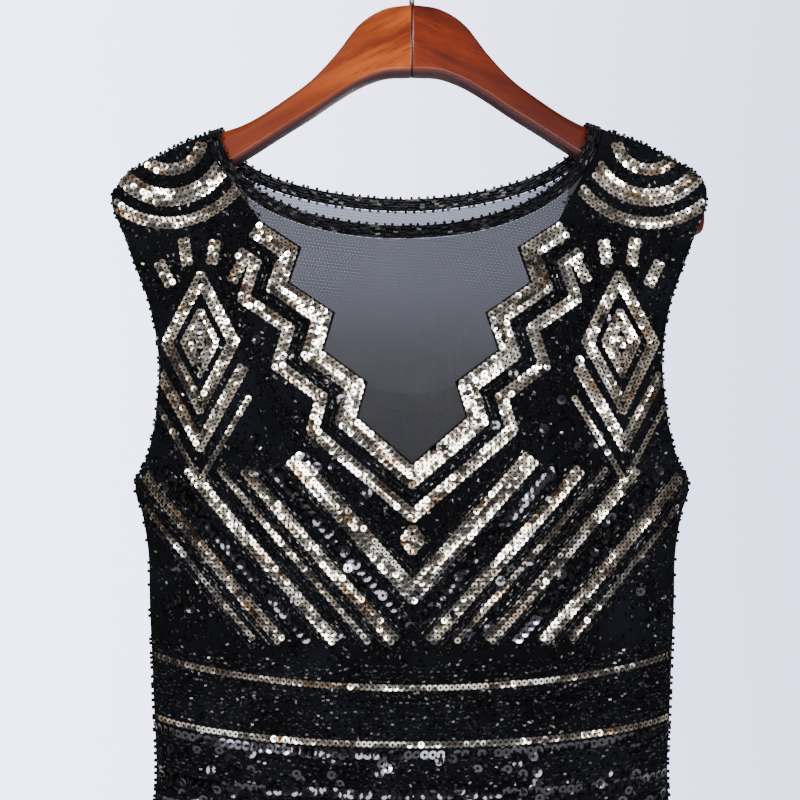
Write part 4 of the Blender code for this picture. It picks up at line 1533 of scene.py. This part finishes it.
# Top, foot and number of places.
ARMHOLE = (-0.2080, UNDERARM - 0.001, 160)
for side, word in SIDES:
    for hand, which in HANDS:
        for row, chain in (
            ("shoulder_row", shoulder_chain(hand, 0.0006)),
            ("armhole_row", side_chain(hand, 0.0012, *ARMHOLE)),
        ):
            name = f"{word}_{row}_{which}"
            edge_beads(name, chain, side, EDGE_PITCH, bugle, EDGE_LIFT)
for hand, which in HANDS:
    # Name, chain, spacing and how far it stands off the cloth.
    for word, chain, pitch, lift in (
        ("shoulder_picots", shoulder_chain(hand, 0.0002), 0.0054, 0.0012),
        ("armhole_picots", side_chain(hand, 0.0002, *ARMHOLE), 0.0056, 0.0006),
        ("side_seam_picots", side_chain(hand, 0.0004, UNDERARM - 0.004, -0.524), 0.0115, 0.0004),
        ("side_seam_beads", side_chain(hand, 0.0004, -0.527, HEM + 0.004), 0.0046, 0.0006),
    ):
        name = f"{word}_{which}"
        edge_beads(name, chain, FRONT, pitch, picot, lift, uneven=0.45)
meshes = [o for o in bpy.data.objects if o.type == "MESH"]
print("bead pieces", sum(BEAD_GLASS.name in o.data.materials for o in meshes))

# %% [markdown]
# ## What is cloth, and what stands for what
#
# Each piece stands for its solid, whose part is hidden, and each sheet of cloth is listed
# with the size that it was cut to, beside which its area is printed.

STANDS_FOR = (
    (front_top, "front_bodice"), (back_top, "back_bodice"),
    (front_skirt, "front_skirt"), (back_skirt, "back_skirt"),
    (front_net, "front_yoke"), (back_net, "back_yoke"),
    (front_band, "front_neck_band"), (back_band, "back_neck_band"),
    (arm_left, "hanger_arm_left"), (arm_right, "hanger_arm_right"),
    (wire_hook, "hanger_hook"),
)
for piece, node in STANDS_FOR:
    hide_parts(node)


def outer_area(obj):
    """Area of the piece's own faces in square metres, before it has a wall."""
    areas = np.empty(len(obj.data.polygons))
    obj.data.polygons.foreach_get("area", areas)
    return float(areas.sum())


# Each sheet with the width and length that hold its cut, and what is sewn on it.
SHEETS = (
    (front_top, (0.440, 0.420), [gold_front, black_front, front_row_beads, strap_beads]),
    (back_top, (0.440, 0.415), [gold_back, black_back]),
    (front_skirt, (0.440, 0.455), [front_level_beads]),
    (back_skirt, (0.440, 0.455), [back_level_beads]),
    (front_net, (0.262, 0.211), []),
    (back_net, (0.260, 0.172), []),
    (front_band, (0.0105, 0.390), []),
    (back_band, (0.0105, 0.350), []),
)
for piece, flat, sewn_on in SHEETS:
    area = outer_area(piece)
    print(piece.name, "area", round(area, 4), "of", round(flat[0] * flat[1], 4))

# %% [markdown]
# ## Light, floor and background
#
# The light is a plain studio one: a soft light in front and one on each side of it, at the
# height of the dress, which flat sequins mirror as white, two smaller ones above, and one
# behind. The world is pale in patches, so that sequins which lean mirror something else
# than their neighbours. The camera sees it as a wall that is painted lighter on the left
# and darker on the right, which is painted light, and the floor lies below the hem.

# %% Light, floor and world
FLOOR_DEPTH = -1.15
FLOOR_HALF_SIDE = 1.1


def soft_light(name, place, aim, size, power, colour):
    """A square area light that faces a point."""
    data = bpy.data.lights.new(name, "AREA")
    data.size = size
    data.energy = power
    data.color = colour
    light = bpy.data.objects.new(name, data)
    light.location = place
    toward = np.array(aim, float) - np.array(place, float)
    flat = math.hypot(toward[0], toward[1])
    spin = math.atan2(-toward[0], toward[1])
    light.rotation_euler = (math.atan2(flat, -toward[2]), 0.0, spin)
    bpy.context.scene.collection.objects.link(light)


AIM = (0.0, 0.0, -0.40)
# Name, place, aim, side of the square, power and colour.
LIGHTS = (
    ("front_light", (-0.10, -1.60, -0.42), AIM, 0.60, 17.0, (1.0, 0.99, 0.97)),
    ("left_light", (-0.80, -1.45, -0.38), AIM, 0.34, 5.5, (1.0, 0.99, 0.97)),
    ("right_light", (0.72, -1.50, -0.36), AIM, 0.34, 5.5, (1.0, 0.99, 0.98)),
    ("upper_left_light", (-0.80, -1.10, 0.45), AIM, 0.24, 19.0, (1.0, 0.98, 0.95)),
    ("upper_right_light", (0.95, -1.00, 0.30), AIM, 0.24, 14.0, (0.95, 0.97, 1.0)),
    ("back_light", (0.4, 1.80, 0.20), (0.0, 0.0, -0.50), 0.8, 34.0, (1.0, 1.0, 1.0)),
)
for light in LIGHTS:
    soft_light(*light)
print("lights", len(LIGHTS))

corners = np.array([(-1, -1, 0), (1, -1, 0), (1, 1, 0), (-1, 1, 0)]) * FLOOR_HALF_SIDE
floor = mesh_object("floor", corners + (0.0, 0.0, FLOOR_DEPTH), [np.array([[0, 1, 2, 3]])])
floor_finish, floor_shader, _ = new_material("pale_floor", Roughness=0.9)
floor_shader.inputs["Base Color"].default_value = (0.84, 0.86, 0.90, 1.0)
floor.data.materials.append(floor_finish)

world = bpy.data.worlds.new("pale_world")
world.use_nodes = True
bpy.context.scene.world = world
tree = world.node_tree
tree.nodes.clear()
sky = Shade(tree)
seen = sky.node("ShaderNodeLightPath", out="Is Camera Ray")
around = sky.node("ShaderNodeTexCoord", out="Generated")
# Painted light: the wall that the camera sees is lighter on the left and darker on the right.
sideways = sky.node("ShaderNodeSeparateXYZ", None, {0: around}, out="X").step(-0.5, 0.6)
wall = sideways.mix((1.12, 1.20, 1.58, 1.0), (0.50, 0.54, 0.78, 1.0))
shown = sky.node("ShaderNodeBackground", None, {"Color": wall, "Strength": 3.6})
patches = noise(sky, around, 2.2, 2.0).step(0.42, 0.66)
room = patches.mix((0.05, 0.05, 0.06, 1.0), (0.66, 0.62, 0.58, 1.0))
lights = sky.node("ShaderNodeBackground", None, {"Color": room, "Strength": 0.9})
either = sky.node("ShaderNodeMixShader", None, {0: seen, 1: lights, 2: shown})
output = tree.nodes.new("ShaderNodeOutputWorld")
tree.links.new(either.socket, output.inputs["Surface"])
